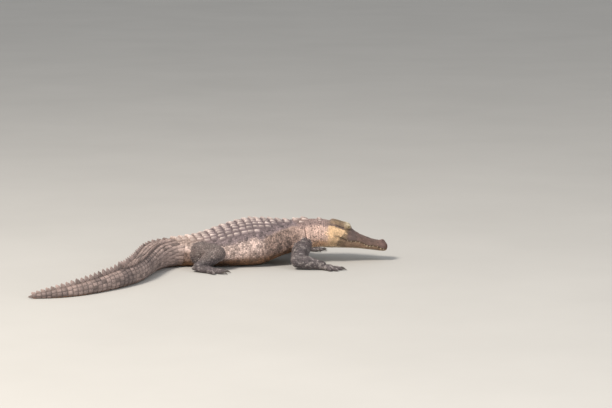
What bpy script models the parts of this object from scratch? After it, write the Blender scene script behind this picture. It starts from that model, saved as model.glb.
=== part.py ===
"""An adult American alligator at life size, lying on its belly with its chin held up and its tail swung
round beside it. Run with: blender --background --python part.py

The body, head and tail are lofts along one bent spine. Their rings come from smooth curves through a few
stations, given by their distance from the tip of the snout. Limbs are tapered lofts between joints.
+X is where the head points, +Z is up, and the animal's right side faces -Y."""

import math

import bmesh
import bpy
import numpy as np

# Lengths along the spine, from the tip of the snout
TOTAL_LENGTH = 3.40
NECK_START = 0.46
SHOULDER = 0.70
TRUNK_MIDDLE = 1.025
VENT = 1.60

# Where the middle of the trunk stands, so that the whole animal is centred on the origin
TRUNK_X = 0.2298
TRUNK_Y = 0.4712

# Stations of the spine: distance from the snout, then the value
HEADING_DEG = [(0, 3), (0.46, 3), (0.66, 8), (1.1, 10), (1.45, 14), (1.65, 40), (1.85, 75), (2.1, 83),
               (2.35, 77), (2.6, 61), (2.9, 51), (3.1, 34), (3.25, 16), (3.4, 4)]
AXIS_HEIGHT = [(0, 0.086), (0.44, 0.200), (0.5, 0.209), (0.58, 0.207), (0.68, 0.194), (0.8, 0.172), (0.9, 0.153),
               (1.0, 0.139), (1.2, 0.130), (1.4, 0.111), (1.6, 0.099), (2.0, 0.089), (2.4, 0.072), (2.8, 0.053),
               (3.2, 0.029), (3.4, 0.012)]
HALF_WIDTH = [(0, 0.014), (0.004, 0.034), (0.015, 0.054), (0.035, 0.071), (0.07, 0.084), (0.11, 0.087),
              (0.16, 0.095), (0.22, 0.105), (0.28, 0.118), (0.34, 0.134), (0.4, 0.151), (0.46, 0.161),
              (0.54, 0.157), (0.62, 0.170), (0.72, 0.207), (0.86, 0.255), (1.02, 0.284), (1.18, 0.282),
              (1.34, 0.240), (1.5, 0.182), (1.62, 0.148), (1.8, 0.119), (2.1, 0.087), (2.5, 0.060), (2.9, 0.038),
              (3.2, 0.022), (3.4, 0.007)]
RISE = [(0, 0.014), (0.006, 0.025), (0.03, 0.036), (0.07, 0.038), (0.125, 0.036), (0.2, 0.040), (0.25, 0.045),
        (0.3, 0.058), (0.36, 0.077), (0.44, 0.087), (0.5, 0.092), (0.58, 0.095), (0.66, 0.101), (0.74, 0.114),
        (0.84, 0.141), (0.94, 0.164), (1.02, 0.171), (1.12, 0.156), (1.22, 0.130), (1.34, 0.101), (1.46, 0.089),
        (1.6, 0.088), (1.8, 0.086), (2.1, 0.078), (2.5, 0.064), (2.9, 0.047), (3.2, 0.030), (3.4, 0.010)]
DROP = [(0, 0.010), (0.01, 0.021), (0.05, 0.030), (0.12, 0.041), (0.2, 0.055), (0.28, 0.072), (0.36, 0.089),
        (0.46, 0.104), (0.56, 0.108), (0.68, 0.110), (0.8, 0.114), (0.9, 0.127), (1.0, 0.143), (1.2, 0.136),
        (1.4, 0.117), (1.6, 0.104), (2.0, 0.094), (2.4, 0.077), (2.8, 0.057), (3.2, 0.033), (3.4, 0.013)]
ROUNDNESS_ABOVE = [(0, 2.4), (0.1, 2.7), (0.22, 2.5), (0.32, 2.1), (0.46, 2.1), (0.66, 2.2), (1.0, 2.3), (1.6, 2.2),
                   (2.1, 2.0), (3.4, 1.9)]
ROUNDNESS_BELOW = [(0, 2.2), (0.3, 2.4), (0.46, 2.3), (0.8, 2.4), (1.05, 3.0), (1.3, 3.0), (1.6, 2.6), (2.4, 2.3),
                   (3.4, 2.2)]

# The head
MOUTH_WAVE = [(0, 0.000), (0.035, -0.003), (0.085, 0.005), (0.15, -0.006), (0.225, 0.004), (0.3, -0.007),
              (0.36, 0.004), (0.4, 0.010), (0.46, 0.010)]
TABLE_HEIGHT = [(0.245, 0), (0.276, 0.007), (0.317, 0.020), (0.37, 0.022), (0.425, 0.018), (0.452, 0)]
TABLE_HALF_WIDTH = [(0.245, 0.036), (0.315, 0.060), (0.35, 0.064), (0.44, 0.072)]
TABLE_EDGE = 0.014
JAW_INSET = [(0, 0.004), (0.02, 0.0078), (0.31, 0.0078), (0.41, 0.0015), (0.46, 0)]
EYE_AT = 0.320
EYE_OUT = 0.0530
EYE_UP = 0.0765
EYE_RADIUS = 0.0165
EYE_LID = 0.0048
NOSTRIL_AT = 0.040
NOSTRIL_OUT = 0.017
EAR_FROM = 0.353
EAR_TO = 0.410
EAR_THICKNESS = 0.007
TOOTH_PLACES = [0.030, 0.052, 0.078, 0.112, 0.134, 0.156, 0.178, 0.215, 0.245, 0.278, 0.305]
TOOTH_LENGTHS = [0.010, 0.012, 0.009, 0.011, 0.015, 0.016, 0.010, 0.009, 0.012, 0.010, 0.008]
TOOTH_RADIUS = 0.0032

# Scutes of the neck, back and tail
SCUTE_ROW_PITCH = 0.0520
FIRST_SCUTE_ROW = 0.732
SCUTES_PER_SIDE = [(0.70, 2.1), (0.80, 3.1), (0.90, 4.2), (1.00, 5.2), (1.24, 5.2), (1.34, 4.2), (1.46, 3.2),
                   (1.60, 2.2)]
SCUTE_WIDTH = [(0.70, 0.042), (1.0, 0.050), (1.25, 0.048), (1.5, 0.040), (1.6, 0.037)]
SCUTE_GAP = 0.005
SCUTE_KEEL = 0.017
NUCHALS = [(0.608, 0.030, 0.060, 0.050, 0.021), (0.666, 0.030, 0.056, 0.048, 0.020),
           (0.638, 0.080, 0.044, 0.036, 0.014), (0.506, 0.022, 0.032, 0.032, 0.010),
           (0.510, 0.062, 0.030, 0.030, 0.009)]
TAIL_PITCH = [(1.6, 0.050), (2.2, 0.049), (2.7, 0.045), (3.4, 0.030)]
CREST_APART = [(1.6, 0.052), (2.1, 0.040), (2.45, 0.026), (2.56, 0.015)]
CREST_MEETS = 2.56
CREST_HEIGHT = [(1.6, 0.018), (1.85, 0.026), (2.1, 0.038), (2.4, 0.050), (2.6, 0.056), (3.0, 0.046), (3.36, 0.020)]
CREST_THICKNESS = 0.0085
ROOT_DEPTH = 0.010

# Gap between touching parts, and how much wider than a part its cutter is
GAP = 0.0003
CLEARANCE = 0.0005

# Lengths of the tail: the number of whorls of scutes on each, its rings and the points in a ring
TAIL_LENGTHS = {"tail_base": (8, 9, 20), "tail_upper": (8, 8, 18), "tail_middle": (8, 8, 16), "tail_lower": (8, 8, 14),
                "tail_tip": (99, 7, 12)}

# Limbs: joints as (forward, out, up) from the middle of the trunk, out being away from the midline
ARM_RIGHT = {"root": (0.385, 0.070, 0.135), "middle": (0.345, 0.335, 0.062), "end": (0.520, 0.352, 0.032),
             "aim_deg": -12}
ARM_LEFT = {"root": (0.355, 0.215, 0.135), "middle": (0.232, 0.432, 0.060), "end": (0.395, 0.500, 0.032),
            "aim_deg": 22}
LEG_RIGHT = {"root": (-0.420, 0.150, 0.088), "middle": (-0.225, 0.372, 0.118), "end": (-0.362, 0.440, 0.036),
             "aim_deg": -24}
LEG_LEFT = {"root": (-0.465, 0.030, 0.088), "middle": (-0.335, 0.268, 0.112), "end": (-0.490, 0.318, 0.036),
            "aim_deg": 30}

HIDE_COLOUR = (0.135, 0.112, 0.098)
PALE_COLOUR = (0.400, 0.300, 0.225)
LIMB_COLOUR = (0.060, 0.052, 0.050)
CLAW_COLOUR = (0.030, 0.027, 0.025)
EYE_COLOUR = (0.230, 0.160, 0.040)


def curve_through(keys):
    """A function that runs smoothly through the keys and never overshoots them."""
    x, y = np.array(keys, float).T
    step = np.diff(x)
    slope = np.diff(y) / step
    tangent = np.zeros_like(y)
    tangent[0] = slope[0]
    tangent[-1] = slope[-1]
    before = slope[:-1]
    after = slope[1:]
    weight_before = 2 * step[1:] + step[:-1]
    weight_after = step[1:] + 2 * step[:-1]
    turning = before * after <= 0
    safe_before = np.where(turning, 1, before)
    safe_after = np.where(turning, 1, after)
    mean = (weight_before + weight_after) / (weight_before / safe_before + weight_after / safe_after)
    tangent[1:-1] = np.where(turning, 0, mean)

    def value(at):
        at = np.clip(np.asarray(at, float), x[0], x[-1])
        i = np.clip(np.searchsorted(x, at, side="right") - 1, 0, len(step) - 1)
        t = (at - x[i]) / step[i]
        start = (1 + 2 * t) * (1 - t) ** 2 * y[i] + t * (1 - t) ** 2 * step[i] * tangent[i]
        end = t**2 * (3 - 2 * t) * y[i + 1] + t**2 * (t - 1) * step[i] * tangent[i + 1]
        return start + end

    return value


heading = curve_through(HEADING_DEG)
axis_height = curve_through(AXIS_HEIGHT)
half_width = curve_through(HALF_WIDTH)
rise = curve_through(RISE)
drop = curve_through(DROP)
roundness_above = curve_through(ROUNDNESS_ABOVE)
roundness_below = curve_through(ROUNDNESS_BELOW)
mouth_wave = curve_through(MOUTH_WAVE)
table_height = curve_through(TABLE_HEIGHT)
table_half_width = curve_through(TABLE_HALF_WIDTH)
jaw_inset = curve_through(JAW_INSET)
scutes_per_side = curve_through(SCUTES_PER_SIDE)
scute_width = curve_through(SCUTE_WIDTH)
tail_pitch = curve_through(TAIL_PITCH)
crest_apart = curve_through(CREST_APART)
crest_height = curve_through(CREST_HEIGHT)


def make_spine(steps=1361):
    """Distances from the snout, with the axis point and the forward direction at each."""
    along = np.linspace(0, TOTAL_LENGTH, steps)
    up = -np.gradient(axis_height(along), along)
    level = np.sqrt(1 - up**2)
    yaw = np.radians(heading(along))
    forward = np.stack([level * np.cos(yaw), level * np.sin(yaw), up], axis=1)
    step = along[1] - along[0]
    walked = np.cumsum((forward[1:] + forward[:-1]) / 2 * step, axis=0)
    points = np.vstack([np.zeros(3), -walked])
    middle = np.array([np.interp(TRUNK_MIDDLE, along, points[:, k]) for k in range(3)])
    points += np.array([TRUNK_X, TRUNK_Y, 0]) - middle
    points[:, 2] = axis_height(along)
    return along, points, forward


SPINE_ALONG, SPINE_POINTS, SPINE_FORWARD = make_spine()


def spine_frame(along):
    """Axis point, and forward, right and up directions, at each distance from the snout."""
    along = np.asarray(along, float)
    point = np.stack([np.interp(along, SPINE_ALONG, SPINE_POINTS[:, k]) for k in range(3)], axis=-1)
    forward = np.stack([np.interp(along, SPINE_ALONG, SPINE_FORWARD[:, k]) for k in range(3)], axis=-1)
    forward /= np.linalg.norm(forward, axis=-1, keepdims=True)
    right = np.cross(forward, (0, 0, 1))
    right /= np.linalg.norm(right, axis=-1, keepdims=True)
    up = np.cross(right, forward)
    return point, forward, right, up


def bump(distance, reach):
    return np.exp(-((distance / reach) ** 2))


def head_relief(along, across):
    """Height that the skull table, brows, nostril mound and cheeks add to the plain loft of the head."""
    away = np.abs(across)
    edge = np.clip((table_half_width(along) - away) / TABLE_EDGE + 0.5, 0, 1)
    table = table_height(along) * edge * edge * (3 - 2 * edge)
    brow = 0.013 * bump(along - EYE_AT, 0.026) * bump(away - 0.044, 0.017)
    trough = -0.010 * bump(along - 0.315, 0.034) * bump(across, 0.020)
    ridge = 0.006 * bump(along - 0.248, 0.034) * bump(away - 0.034, 0.012)
    nostrils = 0.014 * bump(along - 0.046, 0.024) * bump(across, 0.031)
    waist = -0.004 * bump(along - 0.115, 0.030) * bump(away, 0.040)
    return table + brow + trough + ridge + nostrils + waist


def power(value, exponent):
    return np.sign(value) * np.abs(value) ** exponent


def body_surface(along, turn, swell=0.0):
    """A point of the body's skin. turn is 0 on the back, a quarter on the right flank and half on the belly."""
    along, turn = np.broadcast_arrays(np.asarray(along, float), np.asarray(turn, float))
    sine = np.sin(2 * math.pi * turn)
    cosine = np.cos(2 * math.pi * turn)
    above = cosine >= 0
    exponent = 2 / np.where(above, roundness_above(along), roundness_below(along))
    across = (half_width(along) + swell) * power(sine, exponent)
    height = np.where(above, rise(along), drop(along)) + swell
    upward = height * power(cosine, exponent)
    point, _, right, up = spine_frame(along)
    place = point + right * across[..., None] + up * upward[..., None]
    place[..., 2] = np.maximum(place[..., 2], 0)
    return place


def surface_normal(along, turn):
    """The outward direction of the skin."""
    ahead = body_surface(along - 0.004, turn) - body_surface(along + 0.004, turn)
    round_it = body_surface(along, turn + 0.006) - body_surface(along, turn - 0.006)
    normal = np.cross(round_it, ahead)
    return normal / np.linalg.norm(normal, axis=-1, keepdims=True)


def turn_at_arc(along, arc):
    """The turn that lies an arc's length from the middle of the back, to the right if it is positive."""
    turns = np.linspace(0, 0.5, 161)
    ring = body_surface(along, turns)
    walked = np.concatenate([[0], np.cumsum(np.linalg.norm(np.diff(ring, axis=0), axis=1))])
    return math.copysign(float(np.interp(abs(arc), walked, turns)), arc)


def mesh_object(name, points, faces):
    """A new object from points and faces, with its faces turned outwards and split into triangles."""
    mesh = bpy.data.meshes.new(name)
    mesh.from_pydata([tuple(p) for p in points], [], faces)
    shape = bmesh.new()
    shape.from_mesh(mesh)
    bmesh.ops.triangulate(shape, faces=shape.faces)
    bmesh.ops.recalc_face_normals(shape, faces=shape.faces)
    shape.to_mesh(mesh)
    shape.free()
    thing = bpy.data.objects.new(name, mesh)
    bpy.context.scene.collection.objects.link(thing)
    return thing


def loft(name, rings):
    """A closed skin over rings of equally many points, with a flat fan on each end."""
    rings = [np.asarray(ring, float) for ring in rings]
    count = len(rings[0])
    points = np.vstack(rings + [rings[0].mean(axis=0), rings[-1].mean(axis=0)])
    first_hub = len(points) - 2
    last_hub = len(points) - 1
    last_start = (len(rings) - 1) * count
    faces = []
    for i in range(count):
        j = (i + 1) % count
        for start in range(0, last_start, count):
            faces.append((start + i, start + j, start + count + j))
            faces.append((start + i, start + count + j, start + count + i))
        faces.append((first_hub, j, i))
        faces.append((last_hub, last_start + i, last_start + j))
    return mesh_object(name, points, faces)


def body_length(name, first, last, rings, count, swell=0.0):
    """One length of the body between two flat cuts across the spine."""
    turns = (np.arange(count) + 0.5) / count
    return loft(name, [body_surface(s, turns, swell) for s in np.linspace(first, last, rings)])


def basis(direction, up=(0, 0, 1)):
    """Unit vectors along a direction, across it and above it."""
    ahead = np.asarray(direction, float)
    ahead = ahead / np.linalg.norm(ahead)
    side = np.cross(ahead, up)
    side /= np.linalg.norm(side)
    return ahead, side, np.cross(side, ahead)


def tapered(name, start, end, radii, count, flatness=1.0, swell=0.0, rounding=True):
    """A limb's segment. radii are (share of the length, radius); flatness is its height over its width."""
    start = np.asarray(start, float)
    end = np.asarray(end, float)
    ahead, side, above = basis(end - start)
    length = np.linalg.norm(end - start)
    sizes = [(share * length, radius + swell) for share, radius in radii]
    if rounding:
        first_at, first_radius = sizes[0]
        last_at, last_radius = sizes[-1]
        nose = [(0.88, 0.46), (0.48, 0.87)]
        sizes = (
            [(first_at - far * first_radius, thin * first_radius) for far, thin in nose]
            + sizes
            + [(last_at + far * last_radius, thin * last_radius) for far, thin in reversed(nose)]
        )
    angles = 2 * math.pi * (np.arange(count) + 0.5) / count
    rings = []
    for at, radius in sizes:
        ring = start + ahead * at + np.outer(np.cos(angles) * radius, side)
        ring = ring + np.outer(np.sin(angles) * radius * flatness, above)
        ring[:, 2] = np.maximum(ring[:, 2], 0)
        rings.append(ring)
    return loft(name, rings)


def skin_frame(along, turn):
    """A point of the skin, with the directions ahead, to the side and outwards there."""
    centre = body_surface(along, turn)
    normal = surface_normal(along, turn)
    _, forward, _, _ = spine_frame(along)
    ahead = forward - normal * np.dot(forward, normal)
    ahead /= np.linalg.norm(ahead)
    return centre, ahead, np.cross(ahead, normal), normal


def scute(along, turn, length, width, keel, lean=0.12):
    """A keeled plate set on the skin. Its root is sunk in, and its ridge rises to the rear."""
    centre, ahead, side, normal = skin_frame(along, turn)

    def layer(scale, height):
        corners = ((0.5, 0.5), (0.5, -0.5), (-0.5, -0.5), (-0.5, 0.5))
        return [centre + ahead * x * length * scale + side * y * width * scale + normal * height for x, y in corners]

    ridge_front = centre + ahead * (0.24 - lean) * length + normal * 0.80 * keel
    ridge_back = centre - ahead * (0.32 + lean) * length + normal * keel
    points = layer(0.90, -ROOT_DEPTH) + layer(1.0, 0.26 * keel) + [ridge_front, ridge_back]
    faces = [(3, 2, 1, 0), (0, 1, 5, 4), (1, 2, 6, 5), (2, 3, 7, 6), (3, 0, 4, 7)]
    faces += [(4, 5, 8), (5, 6, 9, 8), (6, 7, 9), (7, 4, 8, 9)]
    return mesh_object("scute", points, faces)


def flap(along, turn, length, thickness, height):
    """An upright scute of the tail: a thin wedge that leans back to a short edge."""
    centre, ahead, side, normal = skin_frame(along, turn)
    root = centre - normal * ROOT_DEPTH
    points = [root + ahead * x * length + side * y * thickness for x, y in ((0.5, 1), (0.5, -1), (-0.5, -1), (-0.5, 1))]
    points.append(centre - ahead * 0.14 * length + normal * height)
    points.append(centre - ahead * 0.56 * length + normal * height * 0.94)
    faces = [(3, 2, 1, 0), (0, 1, 4), (1, 2, 5, 4), (2, 3, 5), (3, 0, 4, 5)]
    return mesh_object("flap", points, faces)


def combine(thing, others, operation):
    """Joins the other closed meshes to a thing, or cuts them out of it, and removes them."""
    group = bpy.data.collections.new("tools")
    bpy.context.scene.collection.children.link(group)
    for other in others:
        bpy.context.scene.collection.objects.unlink(other)
        group.objects.link(other)
    modifier = thing.modifiers.new(operation.lower(), "BOOLEAN")
    modifier.operation = operation
    modifier.operand_type = "COLLECTION"
    modifier.collection = group
    modifier.solver = "EXACT"
    modifier.use_self = False
    bpy.context.view_layer.objects.active = thing
    bpy.ops.object.modifier_apply(modifier=modifier.name)
    for other in list(group.objects):
        bpy.data.objects.remove(other)
    bpy.data.collections.remove(group)
    keep_largest_surface(thing)


def keep_largest_surface(thing):
    """Leaves only the closed surface that spans the largest box."""
    shape = bmesh.new()
    shape.from_mesh(thing.data)
    bmesh.ops.remove_doubles(shape, verts=shape.verts, dist=1e-6)
    waiting = set(shape.verts)
    surfaces = []
    while waiting:
        found = {waiting.pop()}
        edge = list(found)
        while edge:
            vertex = edge.pop()
            for link in vertex.link_edges:
                other = link.other_vert(vertex)
                if other not in found:
                    found.add(other)
                    edge.append(other)
        waiting -= found
        surfaces.append(found)

    def span(surface):
        places = np.array([v.co for v in surface])
        return float(np.linalg.norm(places.max(axis=0) - places.min(axis=0)))

    surfaces.sort(key=span)
    for surface in surfaces[:-1]:
        bmesh.ops.delete(shape, geom=list(surface), context="VERTS")
    bmesh.ops.triangulate(shape, faces=shape.faces)
    shape.to_mesh(thing.data)
    shape.free()


def finish(thing, colour, roughness):
    """Gives a part its material and smooth shading with sharp edges kept."""
    material = bpy.data.materials.get(f"{thing.name}_finish") or bpy.data.materials.new(f"{thing.name}_finish")
    material.use_nodes = True
    shader = material.node_tree.nodes["Principled BSDF"]
    shader.inputs["Base Color"].default_value = (*colour, 1)
    shader.inputs["Roughness"].default_value = roughness
    shader.inputs["Metallic"].default_value = 0
    thing.data.materials.clear()
    thing.data.materials.append(material)
    thing.data.shade_smooth()
    thing.data.set_sharp_from_angle(angle=math.radians(35))
    return thing


def back_scutes():
    """The shield of the back: transverse rows of keeled plates, most to a row over the widest trunk."""
    rows = int((VENT - 0.02 - FIRST_SCUTE_ROW) / SCUTE_ROW_PITCH) + 1
    plates = []
    for row in range(rows):
        along = FIRST_SCUTE_ROW + row * SCUTE_ROW_PITCH
        width = float(scute_width(along))
        for column in range(int(scutes_per_side(along))):
            for hand in (-1, 1):
                arc = hand * (column + 0.5) * width
                keel = SCUTE_KEEL * (1 - 0.10 * column)
                turn = turn_at_arc(along, arc)
                plates.append(scute(along, turn, SCUTE_ROW_PITCH - SCUTE_GAP, width - SCUTE_GAP, keel))
    return plates


def neck_scutes():
    """The four great plates of the nape, a smaller one beside them, and the small ones behind the skull."""
    plates = []
    for along, arc, length, width, keel in NUCHALS:
        for hand in (-1, 1):
            turn = turn_at_arc(along, hand * arc)
            plates.append(scute(along, turn, length - SCUTE_GAP, width, keel))
    return plates


def tail_whorls():
    """Where each whorl of tail scutes stands."""
    places = [VENT + 0.5 * float(tail_pitch(VENT))]
    while places[-1] < TOTAL_LENGTH - 0.06:
        places.append(places[-1] + float(tail_pitch(places[-1])))
    return places


def crest_scutes(first, last):
    """The upright flaps of the tail: two rows that close up and run on as one."""
    flaps = []
    for along in tail_whorls():
        if not first < along < last:
            continue
        doubled = along < CREST_MEETS
        for hand in (-1, 1) if doubled else (0,):
            turn = turn_at_arc(along, hand * float(crest_apart(along))) if doubled else 0.0
            length = float(tail_pitch(along)) * 0.76
            height = float(crest_height(along))
            flaps.append(flap(along, turn, length, CREST_THICKNESS, height))
    return flaps


def body_lengths():
    """Each length of the body with its first and last distance from the snout, rings and points in a ring."""
    lengths = {"neck": (NECK_START, SHOULDER, 7, 30), "torso": (SHOULDER, VENT, 19, 26)}
    whorls = tail_whorls()
    first = VENT
    counted = 0
    for name, (share, rings, count) in TAIL_LENGTHS.items():
        counted += share
        last = TOTAL_LENGTH
        if counted < len(whorls):
            last = whorls[counted - 1] + 0.55 * float(tail_pitch(whorls[counted - 1]))
        lengths[name] = (first, last, rings, count)
        first = last
    return lengths


def build_body():
    """Neck, torso and the lengths of the tail, each with its scutes."""
    for name, (first, last, rings, count) in body_lengths().items():
        thing = body_length(name, first + GAP / 2, last - GAP / 2, rings, count)
        if name == "neck":
            plates = neck_scutes()
        elif name == "torso":
            plates = back_scutes()
        else:
            plates = crest_scutes(first, last)
        combine(thing, plates, "UNION")
        finish(thing, HIDE_COLOUR, 0.6)


def body_cutters():
    """The body's own skin a hair wider, which limbs are cut back to."""
    cutters = []
    for name in ("neck", "torso", "tail_base"):
        first, last, rings, count = body_lengths()[name]
        cutters.append(body_length("cutter", first, last, rings, count, CLEARANCE))
    return cutters


def head_ring(along, count, lower):
    """One ring of the upper head or of the lower jaw, closed by a flat line along the mouth."""
    angles = np.linspace(-math.pi / 2, math.pi / 2, count)
    lip = float(mouth_wave(along))
    width = float(half_width(along))
    if lower:
        exponent = 2 / float(roundness_below(along))
        width -= float(jaw_inset(along))
        across = width * power(np.sin(angles), exponent)
        upward = lip - GAP / 2 - (float(drop(along)) + lip) * np.cos(angles) ** exponent
    else:
        exponent = 2 / float(roundness_above(along))
        across = width * power(np.sin(angles), exponent)
        dome = np.cos(angles) ** exponent
        dome[[0, -1]] = 0
        fade = np.clip(dome * 3, 0, 1)
        upward = lip + GAP / 2 + (float(rise(along)) - lip) * dome + head_relief(along, across) * fade
    if lower:
        upward[[0, -1]] = lip - GAP / 2
    point, _, right, up = spine_frame(along)
    return point + np.outer(across, right) + np.outer(upward, up)


def head_point(along, across, upward):
    """A place in the head's own frame."""
    point, _, right, up = spine_frame(along)
    return point + right * across + up * upward


def ball(name, centre, radii, axes, segments=10, rings=6):
    """A squashed ball with its radii along the three axes given."""
    latitudes = np.linspace(0, math.pi, rings + 2)[1:-1]
    angles = 2 * math.pi * np.arange(segments) / segments
    forward, side, above = [np.asarray(a, float) for a in axes]
    loops = []
    for latitude in latitudes:
        loop = np.asarray(centre, float) + forward * radii[0] * math.cos(latitude)
        loop = loop + np.outer(np.cos(angles) * radii[1] * math.sin(latitude), side)
        loops.append(loop + np.outer(np.sin(angles) * radii[2] * math.sin(latitude), above))
    return loft(name, loops)


def eye_frame(hand):
    """Centre of an eyeball, and its outward, forward and upward axes."""
    _, forward, right, up = spine_frame(EYE_AT)
    centre = head_point(EYE_AT, hand * EYE_OUT, EYE_UP)
    outward = right * hand * 0.93 + up * 0.30 + forward * 0.20
    outward /= np.linalg.norm(outward)
    along = forward - outward * np.dot(forward, outward)
    along /= np.linalg.norm(along)
    return centre, outward, along, np.cross(outward, along) * (1 if hand > 0 else -1)


def build_head():
    """Upper head with brows, lids, nostrils, ear flaps and teeth, the lower jaw, and the eyes."""
    stations = np.concatenate([[0.0, 0.005, 0.015, 0.030], np.linspace(0.05, 0.44, 18), [NECK_START - GAP / 2]])
    head = loft("head", [head_ring(s, 21, False) for s in stations])
    jaw = loft("lower_jaw", [head_ring(s, 13, True) for s in stations[1:]])
    _, forward, right, up = spine_frame(EYE_AT)
    added = []
    cut = []
    for hand, side in ((1, "right"), (-1, "left")):
        centre, outward, along, above = eye_frame(hand)
        lid = EYE_RADIUS + EYE_LID
        added.append(ball("lid", centre, (lid, lid * 1.25, lid), (outward, along, above)))
        slit = centre + outward * EYE_RADIUS * 0.95
        cut.append(ball("slit", slit, (0.016, 0.0155, 0.0085), (outward, along, above), 8, 4))
        cut.append(ball("socket", centre, (EYE_RADIUS + CLEARANCE,) * 3, (outward, along, above)))
        nostril = head_point(NOSTRIL_AT, hand * NOSTRIL_OUT, 0.0535)
        cut.append(ball("nostril", nostril, (0.0085, 0.0050, 0.0075), (forward, right, up), 7, 4))
        eye = ball(f"eye_{side}", centre, (EYE_RADIUS,) * 3, (outward, along, above))
        finish(eye, EYE_COLOUR, 0.08)
        cut.append(ear_flap("ear_cut", hand, CLEARANCE))
        finish(ear_flap(f"ear_{side}", hand, 0.0), HIDE_COLOUR, 0.6)
        for place, length in zip(TOOTH_PLACES, TOOTH_LENGTHS):
            added.append(tooth(place, length, hand))
    combine(head, added, "UNION")
    combine(head, cut, "DIFFERENCE")
    finish(head, HIDE_COLOUR, 0.55)
    finish(jaw, PALE_COLOUR, 0.6)


def ear_flap(name, hand, swell):
    """The long lid over an ear, under the edge of the skull table."""
    rings = []
    for share in np.linspace(0, 1, 5):
        along = EAR_FROM + share * (EAR_TO - EAR_FROM)
        tall = 0.0028 + 0.0060 * math.sin(math.pi * (0.12 + 0.76 * share)) + swell
        thick = EAR_THICKNESS + swell
        if share in (0, 1):
            along += swell * (-1 if share == 0 else 1)
        out = float(table_half_width(along)) + 0.0045
        middle = float(rise(along)) * 0.985
        ring = []
        for a, b in ((-thick, -tall), (thick * 0.4, -tall), (thick * 0.5, tall), (-thick, tall)):
            ring.append(head_point(along, hand * (out + a), middle + b))
        rings.append(ring)
    return loft(name, rings)


def tooth(place, length, hand):
    """One upper tooth that shows outside the lower lip."""
    across = hand * (float(half_width(place)) - TOOTH_RADIUS - 0.0004)
    lip = float(mouth_wave(place))
    root = head_point(place, across, lip + 0.006)
    tip = head_point(place, across + hand * 0.0006, lip - length)
    return tapered("tooth", root, tip, [(0, TOOTH_RADIUS), (1, 0.0008)], 5, rounding=False)


def joint_place(where, hand):
    forward, out, up = where
    return np.array([TRUNK_X + forward, TRUNK_Y - hand * out, up])


def finger(name, root, angle, stations, count):
    """A digit or a claw. Its rings stand square to its direction: (ahead, height, half width, half depth)."""
    ahead = np.array([math.cos(angle), math.sin(angle), 0])
    side = np.array([math.sin(angle), -math.cos(angle), 0])
    turns = 2 * math.pi * (np.arange(count) + 0.5) / count
    rings = []
    for far, height, wide, deep in stations:
        centre = np.array([root[0], root[1], 0]) + ahead * far
        ring = centre + np.outer(np.cos(turns) * wide, side)
        ring[:, 2] = np.maximum(height + np.sin(turns) * deep, 0)
        rings.append(ring)
    return loft(name, rings)


def digits(root, aim, spreads, lengths, radius, clawed, side, kind, web):
    """Fingers or toes that fan out from a palm, the web between them, and the claws of the inner ones."""
    r = radius
    pieces = []
    tips = []
    for number, (spread, length) in enumerate(zip(spreads, lengths)):
        angle = aim + math.radians(spread)
        ahead = np.array([math.cos(angle), math.sin(angle), 0])
        shape = [(0.012, 1.1 * r, 1.2 * r, 1.15 * r), (0.5 * length, 0.95 * r, 0.95 * r, r)]
        shape += [(0.78 * length, 0.98 * r, r, r), (length, 0.72 * r, 0.68 * r, 0.74 * r)]
        if number < clawed:
            claw = [(length + GAP, 0.74 * r, 0.55 * r, 0.58 * r), (length + 1.3 * r, 0.82 * r, 0.42 * r, 0.50 * r)]
            claw += [(length + 2.5 * r, 0.50 * r, 0.24 * r, 0.28 * r), (length + 3.3 * r, 0.16 * r, 0.05 * r, 0.06 * r)]
            finish(finger(f"claw_{kind}_{side}_{number + 1}", root, angle, claw, 6), CLAW_COLOUR, 0.35)
        else:
            shape.append((length + 0.45 * r, 0.62 * r, 0.36 * r, 0.42 * r))
        pieces.append(finger("digit", root, angle, shape, 7))
        tips.append((ahead, length))
    for (ahead, length), (other, other_length) in zip(tips, tips[1:]):
        reach = web * min(length, other_length)
        middle = (ahead + other) / np.linalg.norm(ahead + other)
        corners = [root, root + ahead * reach, root + middle * reach * 0.86, root + other * reach]
        low = [np.array([c[0], c[1], 0.0]) for c in corners]
        high = [np.array([c[0], c[1], radius * 0.95]) for c in corners]
        pieces.append(loft("web", [low, high]))
    return pieces


def build_limb(names, limb, hand, side, upper_radii, lower_radii, palm, digit_spec, cutters):
    """A limb in three nodes: upper segment, lower segment, and hand or foot."""
    root = joint_place(limb["root"], hand)
    middle = joint_place(limb["middle"], hand)
    end = joint_place(limb["end"], hand)
    aim = math.radians(limb["aim_deg"])
    ahead = np.array([math.cos(aim), math.sin(aim), 0])
    upper = tapered(f"{names[0]}_{side}", root, middle, upper_radii, 13)
    combine(upper, cutters, "DIFFERENCE")
    finish(upper, LIMB_COLOUR, 0.6)
    lower = tapered(f"{names[1]}_{side}", middle, end, lower_radii, 12)
    knee = tapered("cutter", root, middle, upper_radii, 13, 1.0, CLEARANCE)
    combine(lower, [knee], "DIFFERENCE")
    finish(lower, LIMB_COLOUR, 0.6)
    palm_start = end - ahead * palm["heel"]
    palm_start[2] = palm["height"]
    palm_end = end + ahead * palm["length"]
    palm_end[2] = palm["height"] * 0.8
    shape = [(0, palm["width"] * 0.62), (0.45, palm["width"] * 0.85), (1, palm["width"])]
    foot = tapered(f"{names[2]}_{side}", palm_start, palm_end, shape, 10, palm["flatness"])
    knuckles = end + ahead * palm["length"] * 0.55
    spreads, lengths, radius, clawed, web = digit_spec
    turned = [hand * s for s in spreads]
    pieces = digits(knuckles, aim, turned, lengths, radius, clawed, side, names[2], web)
    combine(foot, pieces, "UNION")
    wrist = tapered("cutter", middle, end, lower_radii, 12, 1.0, CLEARANCE)
    combine(foot, [wrist], "DIFFERENCE")
    finish(foot, LIMB_COLOUR, 0.6)


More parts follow.
